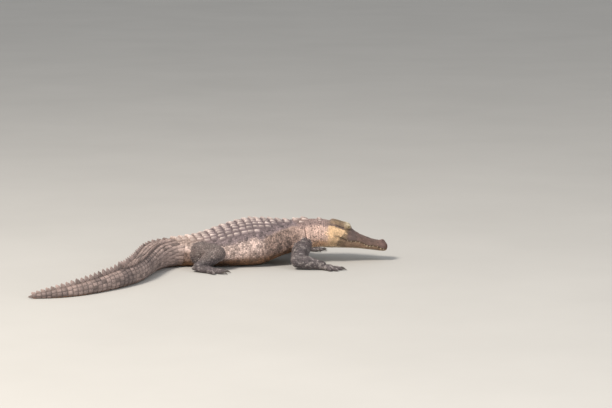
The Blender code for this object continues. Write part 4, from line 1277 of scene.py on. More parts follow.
class Shading:
    """A new material, with the calls that add its nodes and join them."""

    def __init__(self, name):
        before = bpy.data.materials.get(name)
        if before is not None:
            bpy.data.materials.remove(before)
        self.material = bpy.data.materials.new(name)
        self.material.use_nodes = True
        self.shader = self.material.node_tree.nodes["Principled BSDF"].inputs
        self.place = self.add("TexCoord", {})["Object"]

    def feed(self, inputs, values):
        """Gives each input its value, or joins another node's output to it."""
        for name, value in values.items():
            if isinstance(value, bpy.types.NodeSocket):
                self.material.node_tree.links.new(value, inputs[name])
            else:
                inputs[name].default_value = value

    def add(self, kind, values, **settings):
        """The outputs of a new node."""
        node = self.material.node_tree.nodes.new("ShaderNode" + kind)
        for name, setting in settings.items():
            setattr(node, name, setting)
        self.feed(node.inputs, values)
        return node.outputs

    def tint(self):
        """The colour painted on the mesh."""
        return self.add("Attribute", {}, attribute_name="tint")["Color"]

    def noise(self, scale, detail=4.0, rough=0.6):
        values = {"Scale": scale, "Detail": detail, "Roughness": rough, "Vector": self.place}
        return self.add("TexNoise", values)["Fac"]

    def wandering(self, size):
        """Places that are shifted about, so that cells laid over them have crooked edges."""
        wander = self.add("TexNoise", {"Scale": 0.35 / size, "Vector": self.place})["Color"]
        values = {0: wander, 1: (size * 2.5,) * 3, 2: self.place}
        return self.add("VectorMath", values, operation="MULTIPLY_ADD")["Vector"]

    def cells(self, places, size, feature):
        return self.add("TexVoronoi", {"Scale": 1 / size, "Vector": places}, feature=feature)["Distance"]

    def spread(self, value, low, high, to_low, to_high):
        """A value's range from low to high, moved to another range."""
        values = {"Value": value, "From Min": low, "From Max": high, "To Min": to_low, "To Max": to_high}
        return self.add("MapRange", values)["Result"]

    def multiply(self, colour, shade):
        values = {"Factor": 1.0, "A": colour, "B": shade}
        return self.add("Mix", values, data_type="RGBA", blend_type="MULTIPLY")["Result"]

    def relief(self, height, depth, before=None):
        values = {"Distance": depth, "Height": height}
        if before is not None:
            values["Normal"] = before
        return self.add("Bump", values)["Normal"]

    def finish(self, **values):
        """Feeds the shader. Its sockets are named with _ for a space."""
        self.feed(self.shader, {name.replace("_", " "): value for name, value in values.items()})
        return self.material


def hide_material(name):
    """Hide: its own tint broken up by blotches and specks, a leathery grain, wandering cracks and pits, with
    painted shade in the cracks and pits.
    """
    blotch, speck, grain, crack, dull, shiny, depth, lines, pits = FINISHES[name]
    look = Shading(name)
    blotches = look.spread(look.noise(1 / blotch), 0.35, 0.65, 0.8, 1.16)
    specks = look.spread(look.noise(1 / speck, 5.0, 0.75), 0.38, 0.62, 0.8, 1.1)
    colour = look.multiply(look.multiply(look.tint(), blotches), specks)
    places = look.wandering(crack)
    edges = look.cells(places, crack, "DISTANCE_TO_EDGE")
    # Painted shade in the cracks
    colour = look.multiply(colour, look.spread(edges, 0.0, 0.1, 1 - lines, 1.0))
    normal = look.relief(look.spread(edges, 0.0, 0.16, 0.0, 1.0), depth * lines * 4)
    if pits:
        holes = look.cells(places, crack * 0.8, "F1")
        # Painted shade in the pits
        colour = look.multiply(colour, look.spread(holes, 0.08, 0.36, 1 - pits, 1.0))
        normal = look.relief(look.spread(holes, 0.05, 0.4, 0.0, 1.0), depth, normal)
    normal = look.relief(look.noise(1 / grain, 6.0, 0.7), depth * 1.4, normal)
    roughness = look.spread(look.noise(1 / (blotch * 0.4)), 0.3, 0.7, shiny, dull)
    return look.finish(Base_Color=colour, Roughness=roughness, Normal=normal, Specular_IOR_Level=0.42)


def horn_material(name):
    """Claw or tooth: its own tint with fine streaks and a low gloss."""
    shiny = HORN_ROUGHNESS[name]
    look = Shading(name)
    colour = look.multiply(look.tint(), look.spread(look.noise(260), 0.35, 0.65, 0.78, 1.15))
    roughness = look.spread(look.noise(190), 0.3, 0.7, shiny, shiny + 0.25)
    normal = look.relief(look.noise(420), 0.0004)
    return look.finish(Base_Color=colour, Roughness=roughness, Normal=normal)


def eye_material():
    """Wet eyeball: painted iris with fine rays, under a clear coat."""
    look = Shading("wet eye")
    colour = look.multiply(look.tint(), look.spread(look.noise(700, 3.0), 0.35, 0.65, 0.75, 1.2))
    roughness = look.spread(look.noise(120), 0.3, 0.7, 0.06, 0.14)
    return look.finish(Base_Color=colour, Roughness=roughness, Coat_Weight=1.0, Coat_Roughness=0.03)


def floor_material(colour):
    look = Shading("studio floor")
    shade = look.multiply((*colour, 1), look.spread(look.noise(0.6), 0.3, 0.7, 0.97, 1.03))
    return look.finish(Base_Color=shade, Roughness=0.85)


def colour_property(label, description, value):
    return FloatVectorProperty(name=label, description=description, default=value, size=3, subtype="COLOR",
                               min=0, max=1)


def length_property(label, description, value):
    return FloatProperty(name=label, description=description, default=value, min=0, unit="LENGTH")


def number_property(label, description, value):
    return FloatProperty(name=label, description=description, default=value, min=0)


class HideColours(bpy.types.PropertyGroup):
    back: colour_property("Back", "Scutes and skin of the back", (0.228, 0.172, 0.178))
    rump: colour_property("Rump", "Scutes and skin over the hips", (0.43, 0.32, 0.28))
    # Pale scute ridges: partly wear, partly a painted highlight of light on the keels
    worn: colour_property("Worn ridges", "Dry, pale ridges of the scutes", (0.82, 0.68, 0.62))
    flank_pale: colour_property("Upper flank", "Dry pale band under the shield", (0.84, 0.64, 0.575))
    flank: colour_property("Flank", "Middle of the flank", (0.34, 0.23, 0.19))
    low_flank: colour_property("Lower flank", "Flank near the belly", (0.225, 0.115, 0.06))
    belly: colour_property("Belly", "Belly and throat", (0.55, 0.44, 0.31))
    nape: colour_property("Nape", "Top of the neck", (0.355, 0.252, 0.232))
    neck_side: colour_property("Neck side", "Pale skin beside the neck", (0.74, 0.52, 0.44))
    neck_low: colour_property("Neck low", "Skin low on the side of the neck", (0.74, 0.45, 0.29))
    jowl: colour_property("Jowl", "Cream skin at the corner of the mouth", (0.76, 0.51, 0.3))
    jaw: colour_property("Jaw", "Side of the lower jaw", (0.36, 0.23, 0.15))
    skull: colour_property("Skull", "Skull table", (0.27, 0.185, 0.112))
    # Pale brow with a painted highlight where light catches the bony lid
    brow: colour_property("Brow", "Bony lid over the eye", (0.92, 0.8, 0.58))
    # Painted shade: the dark band is the shadow on the wall under the edge of the skull table, where the ears
    # lie
    painted_ear_shade: colour_property("Ear band", "Dark skin below the skull table", (0.185, 0.128, 0.118))
    snout: colour_property("Snout", "Top of the snout", (0.17, 0.104, 0.084))
    snout_root: colour_property("Snout root", "Dark skin before the eyes", (0.145, 0.1, 0.09))
    snout_mound: colour_property("Nostril mound", "Raised skin round the nostrils", (0.23, 0.138, 0.12))
    snout_tip: colour_property("Snout tip", "Blunt end of the snout", (0.125, 0.05, 0.033))
    limb: colour_property("Limb", "Dark skin of the limbs", (0.116, 0.093, 0.097))
    limb_pale: colour_property("Limb flecks", "Pale flecks on the limbs", (0.33, 0.285, 0.275))
    thigh: colour_property("Thigh", "Upper part of the hind limbs", (0.2, 0.152, 0.138))
    tail: colour_property("Tail", "Crest and top of the tail", (0.35, 0.26, 0.235))
    tail_dark: colour_property("Tail bands", "Dark bands of the tail", (0.2, 0.15, 0.14))
    claw: colour_property("Claw", "Horn of the claws", (0.055, 0.045, 0.04))
    tooth: colour_property("Tooth", "Teeth", (0.62, 0.52, 0.36))
    iris: colour_property("Iris", "Iris of the eyes", (0.3, 0.215, 0.065))


class SkinSizes(bpy.types.PropertyGroup):
    mesh_size: length_property("Mesh size", "Size of the skin's faces away from the head", 0.0049)
    fillet: length_property("Fillet", "How far the skin is smoothed where a limb leaves the body", 0.024)
    wrinkle: length_property("Wrinkle depth", "Depth of the common wrinkles", 0.0026)


class ScaleSizes(bpy.types.PropertyGroup):
    granule: length_property("Flank scale", "Spacing of the round scales of the flanks", 0.0132)
    neck: length_property("Neck scale", "Spacing of the scales of the neck", 0.0122)
    belly: length_property("Belly scale", "Spacing of the square scales of the belly", 0.029)
    limb: length_property("Limb scale", "Spacing of the scales of the limbs", 0.0125)
    digit: length_property("Digit scale", "Spacing of the scales of hands and feet", 0.0068)
    tail: length_property("Tail scale", "Height of the scales on the sides of the tail", 0.027)
    relief: length_property("Scale relief", "How far a common scale stands out of the skin", 0.0017)
    keel: length_property("Back keel", "Height of the ridges of the back", 0.015)
    seed: IntProperty(name="Variation", description="Changes the chance variation", default=5, min=0)


class StageSettings(bpy.types.PropertyGroup):
    floor: colour_property("Floor", "Colour of the studio floor", (0.5, 0.485, 0.465))
    elevation: FloatProperty(name="Camera elevation", description="Angle of the view above the floor",
                             default=math.radians(8), subtype="ANGLE")
    distance: length_property("Camera distance", "Distance from the camera to the animal", 19.0)
    focal: number_property("Focal length", "Focal length of the camera in millimetres", 154.2)
    key: number_property("Key light", "Power of the main light in watts", 3300)
    fill: number_property("Fill light", "Power of the side light in watts", 500)
    sky: number_property("Surrounding light", "Strength of the even light all round", 0.55)


def palette_of(context):
    colours = context.scene.hide_colours
    return {name: np.array(getattr(colours, name)) for name in colours.__annotations__}


# What the operators share once the skin is made
made = {}

# The sign of each side, and its word in the names
SIDES = ((1, "right"), (-1, "left"))

LIMB_NODES = {"arm": ("upper_arm", "forearm", "hand"), "leg": ("thigh", "shank", "foot")}
TAIL_NODES = ["tail_base", "tail_upper", "tail_middle", "tail_lower", "tail_tip"]
BODY_NODES = ["head", "lower_jaw", "neck", "torso"] + TAIL_NODES


def limb_node_names():
    sides = [name.split("_") for name in LIMBS]
    return [f"{part}_{side}" for kind, side in sides for part in LIMB_NODES[kind]]


def guide_of_skin():
    if "guide" not in made:
        raise RuntimeError("the skin has to be built before the pieces that sit on it")
    return made["guide"]


def grid_roots(found, guide):
    """Roots on the skin of places given by distance along, arc, row pitch and column pitch."""
    along, arc, row_pitch, pitch = np.asarray(found).T
    roots = guide.roots(body_surface(along, turn_at_arc(along, arc)), spine_frame(along)[1])
    roots["cell"] = np.stack([row_pitch, pitch], axis=1)
    roots["along"] = along
    roots["arc"] = arc
    return chosen(roots, (roots["owner"] == 0) & (roots["apart"] < FARTHEST_ROOT))


def scale_colours(roots, seed, speckle):
    """The hide's colour at each root, varied, with a share of dark scales that stand in clumps."""
    chance = np.random.default_rng(seed)
    count = len(roots["place"])
    tone = 1.03 + 0.34 * (chance.random(count) - 0.5)
    clump = layered_noise(roots["place"], 0.03, 47)
    dark = chance.random(count) < 2 * speckle * rises(clump, 0.25, 0.5)
    return roots["hide"] * np.where(dark, tone * 0.46, tone)[:, None]


def heights(roots, relief, seed):
    return relief * (0.7 + 0.6 * np.random.default_rng(seed + 50).random(len(roots["place"])))


def packed_scales(guide, roots, widest, relief, seed, speckle, sides=9, crown=True):
    """Scales that fill the room between their roots."""
    outline = packed_outlines(roots, widest, 0.97, sides)
    colours = scale_colours(roots, seed, speckle)
    return scale_domes(guide, roots, outline, heights(roots, relief, seed), colours, 0.15, crown)


def oblong_scales(guide, roots, fill, corner, relief, lean, seed, speckle=0.0, sides=12):
    """Scales that fill the cells of a grid."""
    outline = oblong_outlines(roots, np.array(fill), sides, corner, seed)
    colours = scale_colours(roots, seed, speckle)
    return scale_domes(guide, roots, outline, heights(roots, relief, seed), colours, lean)


class ALLIGATOR_OT_stage(bpy.types.Operator):
    """Makes the floor, the lights and the camera"""

    bl_idname = "alligator.stage"
    bl_label = "Stage"

    def execute(self, context):
        scene = context.scene
        stage = scene.stage_settings
        corners = [(x * FLOOR_REACH, y * FLOOR_REACH, FLOOR_LEVEL)
                   for x, y in ((-1, -1), (1, -1), (1, 1), (-1, 1))]
        floor = linked("floor", mesh_from("floor", corners, [(0, 1, 2, 3)]))
        floor.data.materials.append(floor_material(stage.floor))
        for (name, (place, size, colour)), power_watts in zip(LIGHTS.items(), (stage.key, stage.fill)):
            lamp = bpy.data.lights.new(name, "AREA")
            lamp.shape = "DISK"
            lamp.size = size
            lamp.energy = power_watts
            lamp.color = colour
            thing = linked(name, lamp)
            thing.location = Vector(place)
            thing.rotation_euler = (Vector(LIGHTS_AIM) - thing.location).to_track_quat("-Z", "Y").to_euler()
        scene.world = bpy.data.worlds.new("soft sky")
        scene.world.use_nodes = True
        background = scene.world.node_tree.nodes["Background"]
        background.inputs["Color"].default_value = SKY_COLOUR
        background.inputs["Strength"].default_value = stage.sky
        camera = bpy.data.cameras.new("camera")
        camera.sensor_width = SENSOR_WIDTH_MM
        camera.lens = stage.focal
        camera.clip_end = FARTHEST_VIEW
        thing = linked("camera", camera)
        away = Vector((0, -math.cos(stage.elevation), math.sin(stage.elevation)))
        thing.location = Vector(CAMERA_AIM) + away * stage.distance
        thing.rotation_euler = (-away).to_track_quat("-Z", "Y").to_euler()
        scene.camera = thing
        scene.view_settings.view_transform = "Standard"
        return {"FINISHED"}


class ALLIGATOR_OT_skin(bpy.types.Operator):
    """Makes the one skin of head, body, tail and limbs"""

    bl_idname = "alligator.skin"
    bl_label = "Skin"

    def execute(self, context):
        skin = build_skin(context.scene.skin_sizes)
        points, along = skin["points"], skin["along"]
        mesh = mesh_from("skin", points, skin["faces"])
        hide = hide_colours(skin, palette_of(context))
        tone = 0.8 + 0.34 * skin["cell"]
        # Painted shade: the skin is darker in the creases of its wrinkles
        tone *= 1 - 0.45 * np.clip(-skin["crease"] / 0.003, 0, 1)
        # Painted shade: the skin is darker on the limbs and behind the head, in the gaps between the scales
        # that sit on it
        tone *= 1 - 0.22 * np.maximum(skin["limb_share"], rises(along, 0.44, 0.04))
        # Painted shade: a dark line along the mouth, under the overhang of the upper lip
        under_lip = arc_at_turn(along, np.abs(skin["turn"])) - arc_at_turn(along, 0.25) - 0.002
        lip = bump(under_lip, 0.0042) * (1 - skin["limb_share"]) * falls(along, 0.425, 0.05)
        colours = hide * (tone * (1 - 0.7 * lip))[:, None]
        # Painted shade: the skin is darkened in the eye sockets, in the nostrils and along the ear slits
        for hand in (1, -1):
            nostril = head_point(NOSTRIL_AT, hand * NOSTRIL_OUT, NOSTRIL_UP - 0.006)
            ear = [head_point(at, hand * (table_half_width(at) + 0.004), ear_height(at) - 0.006)
                   for at in np.linspace(EAR_FROM, EAR_TO, 12)]
            for apart, reach, share in (
                (np.linalg.norm(points - eye_frame(hand)[0], axis=1), EYE_RADIUS * 0.95, 0.6),
                (np.linalg.norm(points - nostril, axis=1), 0.01, 0.88),
                (nearest_seeds(points, np.array(ear))[0], 0.0052, 0.7),
            ):
                colours *= (1 - share * bump(apart, reach))[:, None]
        paint(mesh, colours)
        nodes = BODY_NODES + limb_node_names()
        thing = place_piece("skin", mesh, hide_material("wrinkled hide"), nodes)
        made["guide"] = SkinGuide(skin, unwrap_skin(thing, skin), hide)
        return {"FINISHED"}


class ALLIGATOR_OT_back_scutes(bpy.types.Operator):
    """Makes the shield of keeled plates along the back"""

    bl_idname = "alligator.back_scutes"
    bl_label = "Back scutes"

    def execute(self, context):
        guide = guide_of_skin()
        palette = palette_of(context)
        sizes = context.scene.scale_sizes
        chance = np.random.default_rng(sizes.seed)
        parts = []
        for row, along in enumerate(np.arange(FIRST_SCUTE_ROW, VENT - 0.02, SCUTE_ROW_PITCH)):
            width = scute_width(along)
            share = rises(along, 1.3, 0.2)
            colour = palette["back"] * (1 - share) + palette["rump"] * share
            for column in range(int(scutes_per_side(along))):
                for hand in (-1, 1):
                    length = SCUTE_ROW_PITCH * (0.97 + 0.05 * chance.random())
                    wide = width * (0.91 + 0.06 * chance.random())
                    shift = along + 0.005 * (chance.random() - 0.5) + 0.004 * (column % 2)
                    high = sizes.keel * (1 - 0.1 * column)
                    seed = row * 20 + column * 2 + hand + 1
                    arc = hand * (column + 0.5) * width
                    parts.append(scute_plate(guide, shift, arc, length, wide, high, seed, colour,
                                             palette["worn"], 19, 17, 0.0045))
        coat_piece("back_scutes", parts, "weathered scute", ["torso"])
        return {"FINISHED"}


class ALLIGATOR_OT_neck_scutes(bpy.types.Operator):
    """Makes the great plates of the nape and the small ones behind the skull"""

    bl_idname = "alligator.neck_scutes"
    bl_label = "Neck scutes"

    def execute(self, context):
        guide = guide_of_skin()
        palette = palette_of(context)
        parts = []
        for number, (along, arc, length, width, keel) in enumerate(NUCHALS):
            for hand in (-1, 1):
                seed = 900 + number * 2 + hand
                parts.append(scute_plate(guide, along, hand * arc, length, width, keel * 0.82, seed,
                                         palette["nape"] * 0.8, palette["worn"], 21, 19, 0.006))
        coat_piece("neck_scutes", parts, "nape scute", ["neck"])
        return {"FINISHED"}


class ALLIGATOR_OT_tail_crest(bpy.types.Operator):
    """Makes the upright flaps of the tail, in two rows that close up and run on as one"""

    bl_idname = "alligator.tail_crest"
    bl_label = "Tail crest"

    def execute(self, context):
        guide = guide_of_skin()
        palette = palette_of(context)
        parts = []
        for number, along in enumerate(TAIL_WHORLS):
            colour = palette["tail"] * (1.15 if number % 5 else 0.8)
            for hand in (-1, 1) if along < CREST_MEETS else (0,):
                seed = 600 + number * 3 + hand + 1
                high = crest_height(along) * 0.8
                parts.append(crest_flap(guide, along, hand * crest_apart(along),
                                        tail_pitch(along) * 0.96, 0.0092, high, seed, colour))
        coat_piece("tail_crest", parts, "crest horn", TAIL_NODES)
        return {"FINISHED"}


class ALLIGATOR_OT_tail_scales(bpy.types.Operator):
    """Makes the rings of oblong scales round the tail"""

    bl_idname = "alligator.tail_scales"
    bl_label = "Tail scales"

    def execute(self, context):
        guide = guide_of_skin()
        sizes = context.scene.scale_sizes
        plain = []
        keeled = []
        for along in TAIL_WHORLS:
            pitch = tail_pitch(along)
            girth = half_girth(along)
            start = crest_apart(along) + 0.012 if along < CREST_MEETS else 0.01
            count = max(int(round((girth - start) / sizes.tail)), 2)
            step = (girth - start) / count
            for hand in (-1, 1):
                for column in range(count):
                    entry = (along, hand * (start + (column + 0.5) * step), pitch, step)
                    (keeled if column < 2 and along < 2.3 else plain).append(entry)
                if along < CREST_MEETS - 0.2:
                    inner = start - 0.026
                    keeled.append((along, hand * inner / 2, pitch, inner * 0.96))
        parts = [oblong_scales(guide, grid_roots(plain, guide), (0.96, 0.94), 4.5, sizes.relief * 1.4, 0.15,
                               sizes.seed + 1, 0.06),
                 oblong_scales(guide, grid_roots(keeled, guide), (0.96, 0.91), 3.5, sizes.relief * 3.2, 0.5,
                               sizes.seed + 2, 0.1)]
        coat_piece("tail_scales", parts, "tail hide", TAIL_NODES)
        return {"FINISHED"}


class ALLIGATOR_OT_flank_scales(bpy.types.Operator):
    """Makes the round scales of the flanks, with larger dark ones beside the shield"""

    bl_idname = "alligator.flank_scales"
    bl_label = "Flank scales"

    def execute(self, context):
        guide = guide_of_skin()
        sizes = context.scene.scale_sizes
        pitch = sizes.granule
        small = body_grid(np.arange(0.7, VENT + 0.01, pitch), pitch, pitch * 0.96,
                          lambda along: shield_half_width(along) + 0.004,
                          lambda along: half_girth(along) - 0.15 * falls(along, 1.75, 0.25),
                          sizes.seed, 0.46, 0.97)
        small = grid_roots(small, guide)
        chance = np.random.default_rng(sizes.seed + 3)
        big = []
        for along in np.arange(0.74, VENT, SCUTE_ROW_PITCH / 2):
            for hand in (-1, 1):
                for column in range(3):
                    if chance.random() < 0.62 - 0.14 * column:
                        arc = shield_half_width(along) + 0.016 + column * 0.026
                        arc += 0.008 * chance.random()
                        big.append((along + 0.013 * (column % 2), hand * arc, 0.026 - 0.004 * column, 1.0))
        big = grid_roots(big, guide)
        apart = nearest_seeds(small["place"], big["place"])[0]
        small = chosen(small, apart > 0.015)
        parts = [packed_scales(guide, small, pitch * 0.74, sizes.relief * 0.8, sizes.seed + 4, 0.22),
                 packed_scales(guide, big, big["cell"][:, 0] * 0.52, sizes.relief * 2.2, sizes.seed + 5,
                               0.45)]
        coat_piece("flank_scales", parts, "flank scale", ["torso"])
        return {"FINISHED"}


class ALLIGATOR_OT_belly_scales(bpy.types.Operator):
    """Makes the square scales of the belly and throat, in rows across"""

    bl_idname = "alligator.belly_scales"
    bl_label = "Belly scales"

    def execute(self, context):
        guide = guide_of_skin()
        sizes = context.scene.scale_sizes
        parts = []
        for number, (start, end, pitch, half_band, corner) in enumerate((
            (0.69, VENT, sizes.belly, 0.145, 5.0), (0.4, 0.69, sizes.belly * 0.54, 0.13, 4.0),
        )):
            found = body_grid(np.arange(start, end, pitch * 1.08), pitch * 1.08, pitch,
                              lambda along: half_girth(along) - half_band, half_girth,
                              sizes.seed + 6 + number, 0.06)
            parts.append(oblong_scales(guide, grid_roots(found, guide), (0.96, 0.95), corner,
                                       sizes.relief * 0.8, 0.0, sizes.seed + 8 + number))
        coat_piece("belly_scales", parts, "belly scale", ["torso", "neck"])
        return {"FINISHED"}


class ALLIGATOR_OT_neck_scales(bpy.types.Operator):
    """Makes the pebbled scales of the neck and shoulders"""

    bl_idname = "alligator.neck_scales"
    bl_label = "Neck scales"

    def execute(self, context):
        guide = guide_of_skin()
        sizes = context.scene.scale_sizes
        pitch = sizes.neck
        found = body_grid(np.arange(0.425, 0.7, pitch), pitch, pitch, lambda along: 0,
                          lambda along: half_girth(along) - 0.125, sizes.seed + 10, 0.5, 0.97)
        roots = grid_roots(found, guide)
        clear = (roots["along"] > 0.457) | (np.abs(roots["arc"]) > 0.115)
        for along, arc, length, width, _ in NUCHALS:
            for hand in (-1, 1):
                local = roots["place"] - body_surface(along, turn_at_arc(along, hand * arc))
                forward = spine_frame(along)[1]
                ahead = dot(local, forward)
                out = np.linalg.norm(local - forward * ahead[:, None], axis=1)
                clear &= (np.abs(ahead) > length * 0.44) | (out > width * 0.42)
        roots = chosen(roots, clear)
        relief = sizes.relief * (0.25 + 0.6 * rises(roots["along"], 0.42, 0.07))
        speckle = 0.16 * rises(roots["along"], 0.47, 0.05)
        parts = [packed_scales(guide, roots, pitch * 0.74, relief, sizes.seed + 11, speckle)]
        coat_piece("neck_scales", parts, "neck scale", ["neck", "torso"])
        return {"FINISHED"}


class ALLIGATOR_OT_limb_scales(bpy.types.Operator):
    """Makes the scales of the limbs, finer on hands and feet, and the broad plates on top of the digits"""

    bl_idname = "alligator.limb_scales"
    bl_label = "Limb scales"

    def execute(self, context):
        guide = guide_of_skin()
        sizes = context.scene.scale_sizes
        skin = guide.skin
        parts = []
        for number, limb in enumerate(LIMBS.values()):
            mine = skin["points"][(skin["owner"] == number + 1) & (skin["points"][:, 2] > 0.003)]
            root, middle, end = limb_joints(limb)
            knuckles, digits, r = limb_digits(limb)
            reach = max(length for _, length in digits) + r

            def on_hand(places):
                return (np.linalg.norm(places - knuckles, axis=1) < reach) & (places[:, 2] < HAND_TOP)

            fine = on_hand(mine)
            seeds = np.vstack([scattered(mine[fine], sizes.digit, sizes.seed + 12 + number),
                               scattered(mine[~fine], sizes.limb, sizes.seed + 16 + number)])
            rays = [(level(angle), length) for angle, length in digits]
            tops = [(knuckles * (1, 1, 0) + ray * far + (0, 0, 2.1 * r), -ray, far / length)
                    for ray, length in rays for far in np.arange(0.26 * length, length - 0.1 * r, 0.0105)]
            segments = [(root, middle, 0.04), (middle, end, 0.04)]
            segments += [(knuckles, knuckles + ray * length, 0) for ray, length in rays]
            best = np.full(len(seeds), np.inf)
            ahead = np.zeros_like(seeds)
            for start, stop, allowance in segments:
                line = stop - start
                share = np.clip(dot(seeds - start, line) / dot(line, line), 0, 1)
                apart = np.linalg.norm(seeds - start - line * share[:, None], axis=1) - allowance
                ahead[apart < best] = -unit(line)
                best = np.minimum(best, apart)
            places, ways, shares = (np.array(column) for column in zip(*tops))
            plates = guide.roots(places, ways)
            wide = 1.55 * r * (1 - 0.3 * shares)
            plates["cell"] = np.stack([np.full(len(wide), 0.0125), wide], axis=1)
            free = nearest_seeds(seeds, plates["place"])[0] > 0.0068
            roots = guide.roots(seeds[free], ahead[free])
            fine = on_hand(roots["place"])
            widest = np.where(fine, sizes.digit, sizes.limb) * 0.7
            out = rises(np.linalg.norm(roots["place"] - root, axis=1), 0.03, 0.06)
            relief = sizes.relief * np.where(fine, 0.5, 0.25 + 0.55 * out)
            parts.append(packed_scales(guide, roots, widest, relief, sizes.seed + 30 + number, 0.1, 8,
                                       crown=False))
            parts.append(oblong_scales(guide, plates, (1.0, 1.0), 3.0, sizes.relief * 0.9, 0.25,
                                       sizes.seed + 40 + number, sides=10))
        coat_piece("limb_scales", parts, "limb scale", limb_node_names())
        return {"FINISHED"}


class ALLIGATOR_OT_eyes(bpy.types.Operator):
    """Makes the eyeballs with slit pupils, and the rims of the lids"""

    bl_idname = "alligator.eyes"
    bl_label = "Eyes"

    def execute(self, context):
        palette = palette_of(context)
        material = eye_material()
        latitudes = np.concatenate([np.linspace(0.01, 1.0, 44), np.linspace(1.05, math.pi - 0.05, 22)])
        rims = []
        for hand, side in SIDES:
            centre, outward, forward, above = eye_frame(hand)
            points, faces = ball_tube(centre, (EYE_RADIUS,) * 3, (outward, forward, above), latitudes, 96,
                                      CORNEA_BULGE)
            mesh = mesh_from(f"eyeball_{side}", points, faces)
            local = points - centre
            ahead = dot(local, forward)
            high = dot(local, above)
            from_axis = np.hypot(ahead, high)
            colours = np.outer(0.55 + 0.45 * rises(from_axis, 0.002, 0.006), palette["iris"])
            colours = blend_colours(colours, np.array(IRIS_EDGE_COLOUR), rises(from_axis, IRIS_EDGE, 0.002))
            slit = PUPIL_HALF_WIDTH * np.sqrt(np.clip(1 - (high / PUPIL_HALF_HEIGHT) ** 2, 0, 1))
            colours[(np.abs(ahead) < slit) & (dot(local, outward) > 0)] = PUPIL_COLOUR
            paint(mesh, colours)
            place_piece(f"eyeball_{side}", mesh, material, [f"eye_{side}"])
            rings = []
            for angle in np.linspace(0, FULL_TURN, 49):
                flat = forward * math.cos(angle) * SLIT_HALF_LENGTH * 1.03
                flat = flat + above * math.sin(angle) * SLIT_HALF_HEIGHT * 1.04
                height = math.sqrt(max((EYE_RADIUS + 0.002) ** 2 - dot(flat, flat), 1e-6))
                thick = 0.0017 + 0.0005 * math.sin(angle)
                rings.append(oval(centre + flat + outward * height, outward * thick, unit(-flat) * thick, 10))
            points, faces = tube(rings)
            colours = np.repeat((palette["skull"] * 0.42)[None, :], len(points), axis=0)
            rims.append((points, faces, 0.9 + points[:, :2] * 0.001, colours))
        coat_piece("eyelid_rims", rims, "eyelid rim", ["head"])
        return {"FINISHED"}


class ALLIGATOR_OT_ear_flaps(bpy.types.Operator):
    """Makes the long lids over the ears, under the edge of the skull table"""

    bl_idname = "alligator.ear_flaps"
    bl_label = "Ear flaps"

    def execute(self, context):
        palette = palette_of(context)
        # Part of the flap's colour is the painted shade of the band under the skull table
        colour = palette["painted_ear_shade"] * 0.3 + palette["skull"] * 0.7
        material = hide_material("ear flap")
        for hand, side in SIDES:
            rings = []
            for share in np.linspace(0, 1, 40):
                along = EAR_FROM + share * (EAR_TO - EAR_FROM)
                _, _, right, up = spine_frame(along)
                out = right * hand
                tall = 0.0012 + 0.0032 * math.sin(math.pi * (0.08 + 0.84 * share))
                across = table_half_width(along) + 0.003
                middle = head_point(along, hand * across, ear_height(along))
                rings.append(oval(middle, out * 0.0026 * (0.4 + tall / 0.009), up * tall - out * 0.0022, 24))
            points, faces = tube(rings)
            noise = layered_noise(points, 0.005, 41)
            points += point_normals(points, faces) * (0.0011 * (noise - 0.5))[:, None]
            mesh = mesh_from(f"ear_flap_{side}", points, faces)
            # Painted shade and highlight: the flap is darker in the dips of its bumps and lighter on their
            # tops
            paint(mesh, np.outer(0.4 + 1.0 * noise, colour))
            place_piece(f"ear_flap_{side}", mesh, material, [f"ear_{side}"])
        return {"FINISHED"}


class ALLIGATOR_OT_teeth(bpy.types.Operator):
    """Makes the upper teeth that show outside the lower lip"""

    bl_idname = "alligator.teeth"
    bl_label = "Teeth"

    def execute(self, context):
        palette = palette_of(context)
        shares = np.linspace(0, 1, 12)
        # Painted shade: each tooth is darker at its root under the upper lip and lighter towards its point
        shades = np.concatenate([np.repeat(0.62 + 0.42 * smooth_step(shares * 2), 14), [0.6, 1.0]])
        parts = []
        for place, length in TEETH.items():
            _, forward, right, _ = spine_frame(place)
            for hand in (1, -1):
                across = half_width(place) - TOOTH_RADIUS - 0.0014
                rings = []
                for share in shares:
                    radius = TOOTH_RADIUS * 1.08 * (1 - share**1.5) ** 0.9 + 0.0002
                    high = mouth_wave(place) + 0.0015 - share * (length + 0.0015)
                    centre = head_point(place + 0.0015 * share**2, hand * (across - 0.0012 * share**2), high)
                    rings.append(oval(centre, forward * radius, right * radius, 14))
                points, faces = tube(rings)
                parts.append((points, faces, 0.8 + points[:, :2] * 0.01, np.outer(shades, palette["tooth"])))
        coat_piece("teeth", parts, "tooth enamel", ["head"])
        return {"FINISHED"}


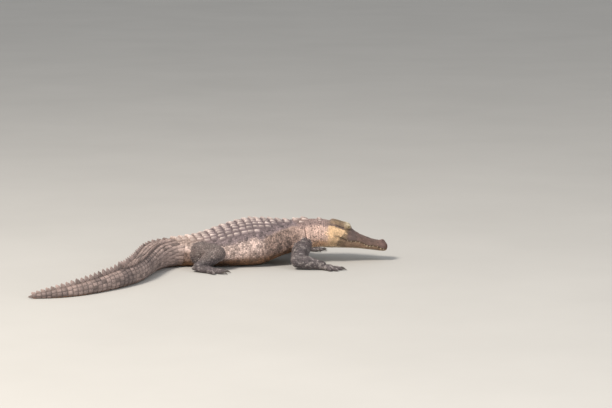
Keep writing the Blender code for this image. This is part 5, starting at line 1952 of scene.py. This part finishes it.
class ALLIGATOR_OT_claws(bpy.types.Operator):
    """Makes the horn claws of the inner three digits of each limb"""

    bl_idname = "alligator.claws"
    bl_label = "Claws"

    def execute(self, context):
        palette = palette_of(context)
        material = horn_material("claw horn")
        shares = np.linspace(0, 1, 22)
        for limb_name, limb in LIMBS.items():
            kind, side = limb_name.split("_")
            knuckles, digits, r = limb_digits(limb)
            for number, (angle, length) in enumerate(digits[:CLAWED_DIGITS]):
                name = f"claw_{LIMB_NODES[kind][2]}_{side}_{number + 1}"
                sizes = [curve(shares) * r for curve in (claw_height, claw_width, claw_depth)]
                places = zip(length + claw_reach(shares) * r, *sizes)
                points, faces = digit_tube(knuckles, angle, places, 20, 0.0003)
                mesh = mesh_from(f"horn_{name}", points, faces)
                out = np.clip((dot(points - knuckles, level(angle)) - length) / (2.9 * r), 0, 1)
                shade = 0.7 + 0.9 * out + 0.5 * layered_noise(points, 0.006, 43)
                paint(mesh, np.outer(shade, palette["claw"]))
                place_piece(f"horn_{name}", mesh, material, [name])
        return {"FINISHED"}


OPERATORS = (ALLIGATOR_OT_stage, ALLIGATOR_OT_skin, ALLIGATOR_OT_back_scutes, ALLIGATOR_OT_neck_scutes,
             ALLIGATOR_OT_tail_crest, ALLIGATOR_OT_tail_scales, ALLIGATOR_OT_flank_scales,
             ALLIGATOR_OT_belly_scales, ALLIGATOR_OT_neck_scales, ALLIGATOR_OT_limb_scales, ALLIGATOR_OT_eyes,
             ALLIGATOR_OT_ear_flaps, ALLIGATOR_OT_teeth, ALLIGATOR_OT_claws)
GROUPS = {"hide_colours": HideColours, "skin_sizes": SkinSizes, "scale_sizes": ScaleSizes,
          "stage_settings": StageSettings}


class ALLIGATOR_PT_panel(bpy.types.Panel):
    bl_idname = "ALLIGATOR_PT_panel"
    bl_label = "Alligator"
    bl_space_type = "VIEW_3D"
    bl_region_type = "UI"
    bl_category = "Alligator"

    def draw(self, context):
        for operator in OPERATORS:
            self.layout.operator(operator.bl_idname)
        for name, group in GROUPS.items():
            settings = getattr(context.scene, name)
            for field in group.__annotations__:
                self.layout.prop(settings, field)


def register():
    for group in GROUPS.values():
        bpy.utils.register_class(group)
    for name, group in GROUPS.items():
        setattr(bpy.types.Scene, name, PointerProperty(type=group))
    for operator in OPERATORS:
        bpy.utils.register_class(operator)
    bpy.utils.register_class(ALLIGATOR_PT_panel)


def unregister():
    bpy.utils.unregister_class(ALLIGATOR_PT_panel)
    for operator in reversed(OPERATORS):
        bpy.utils.unregister_class(operator)
    for name in GROUPS:
        delattr(bpy.types.Scene, name)
    for group in reversed(list(GROUPS.values())):
        bpy.utils.unregister_class(group)


def main():
    register()
    for operator in OPERATORS:
        group, name = operator.bl_idname.split(".")
        getattr(getattr(bpy.ops, group), name)()


if __name__ == "__main__":
    main()
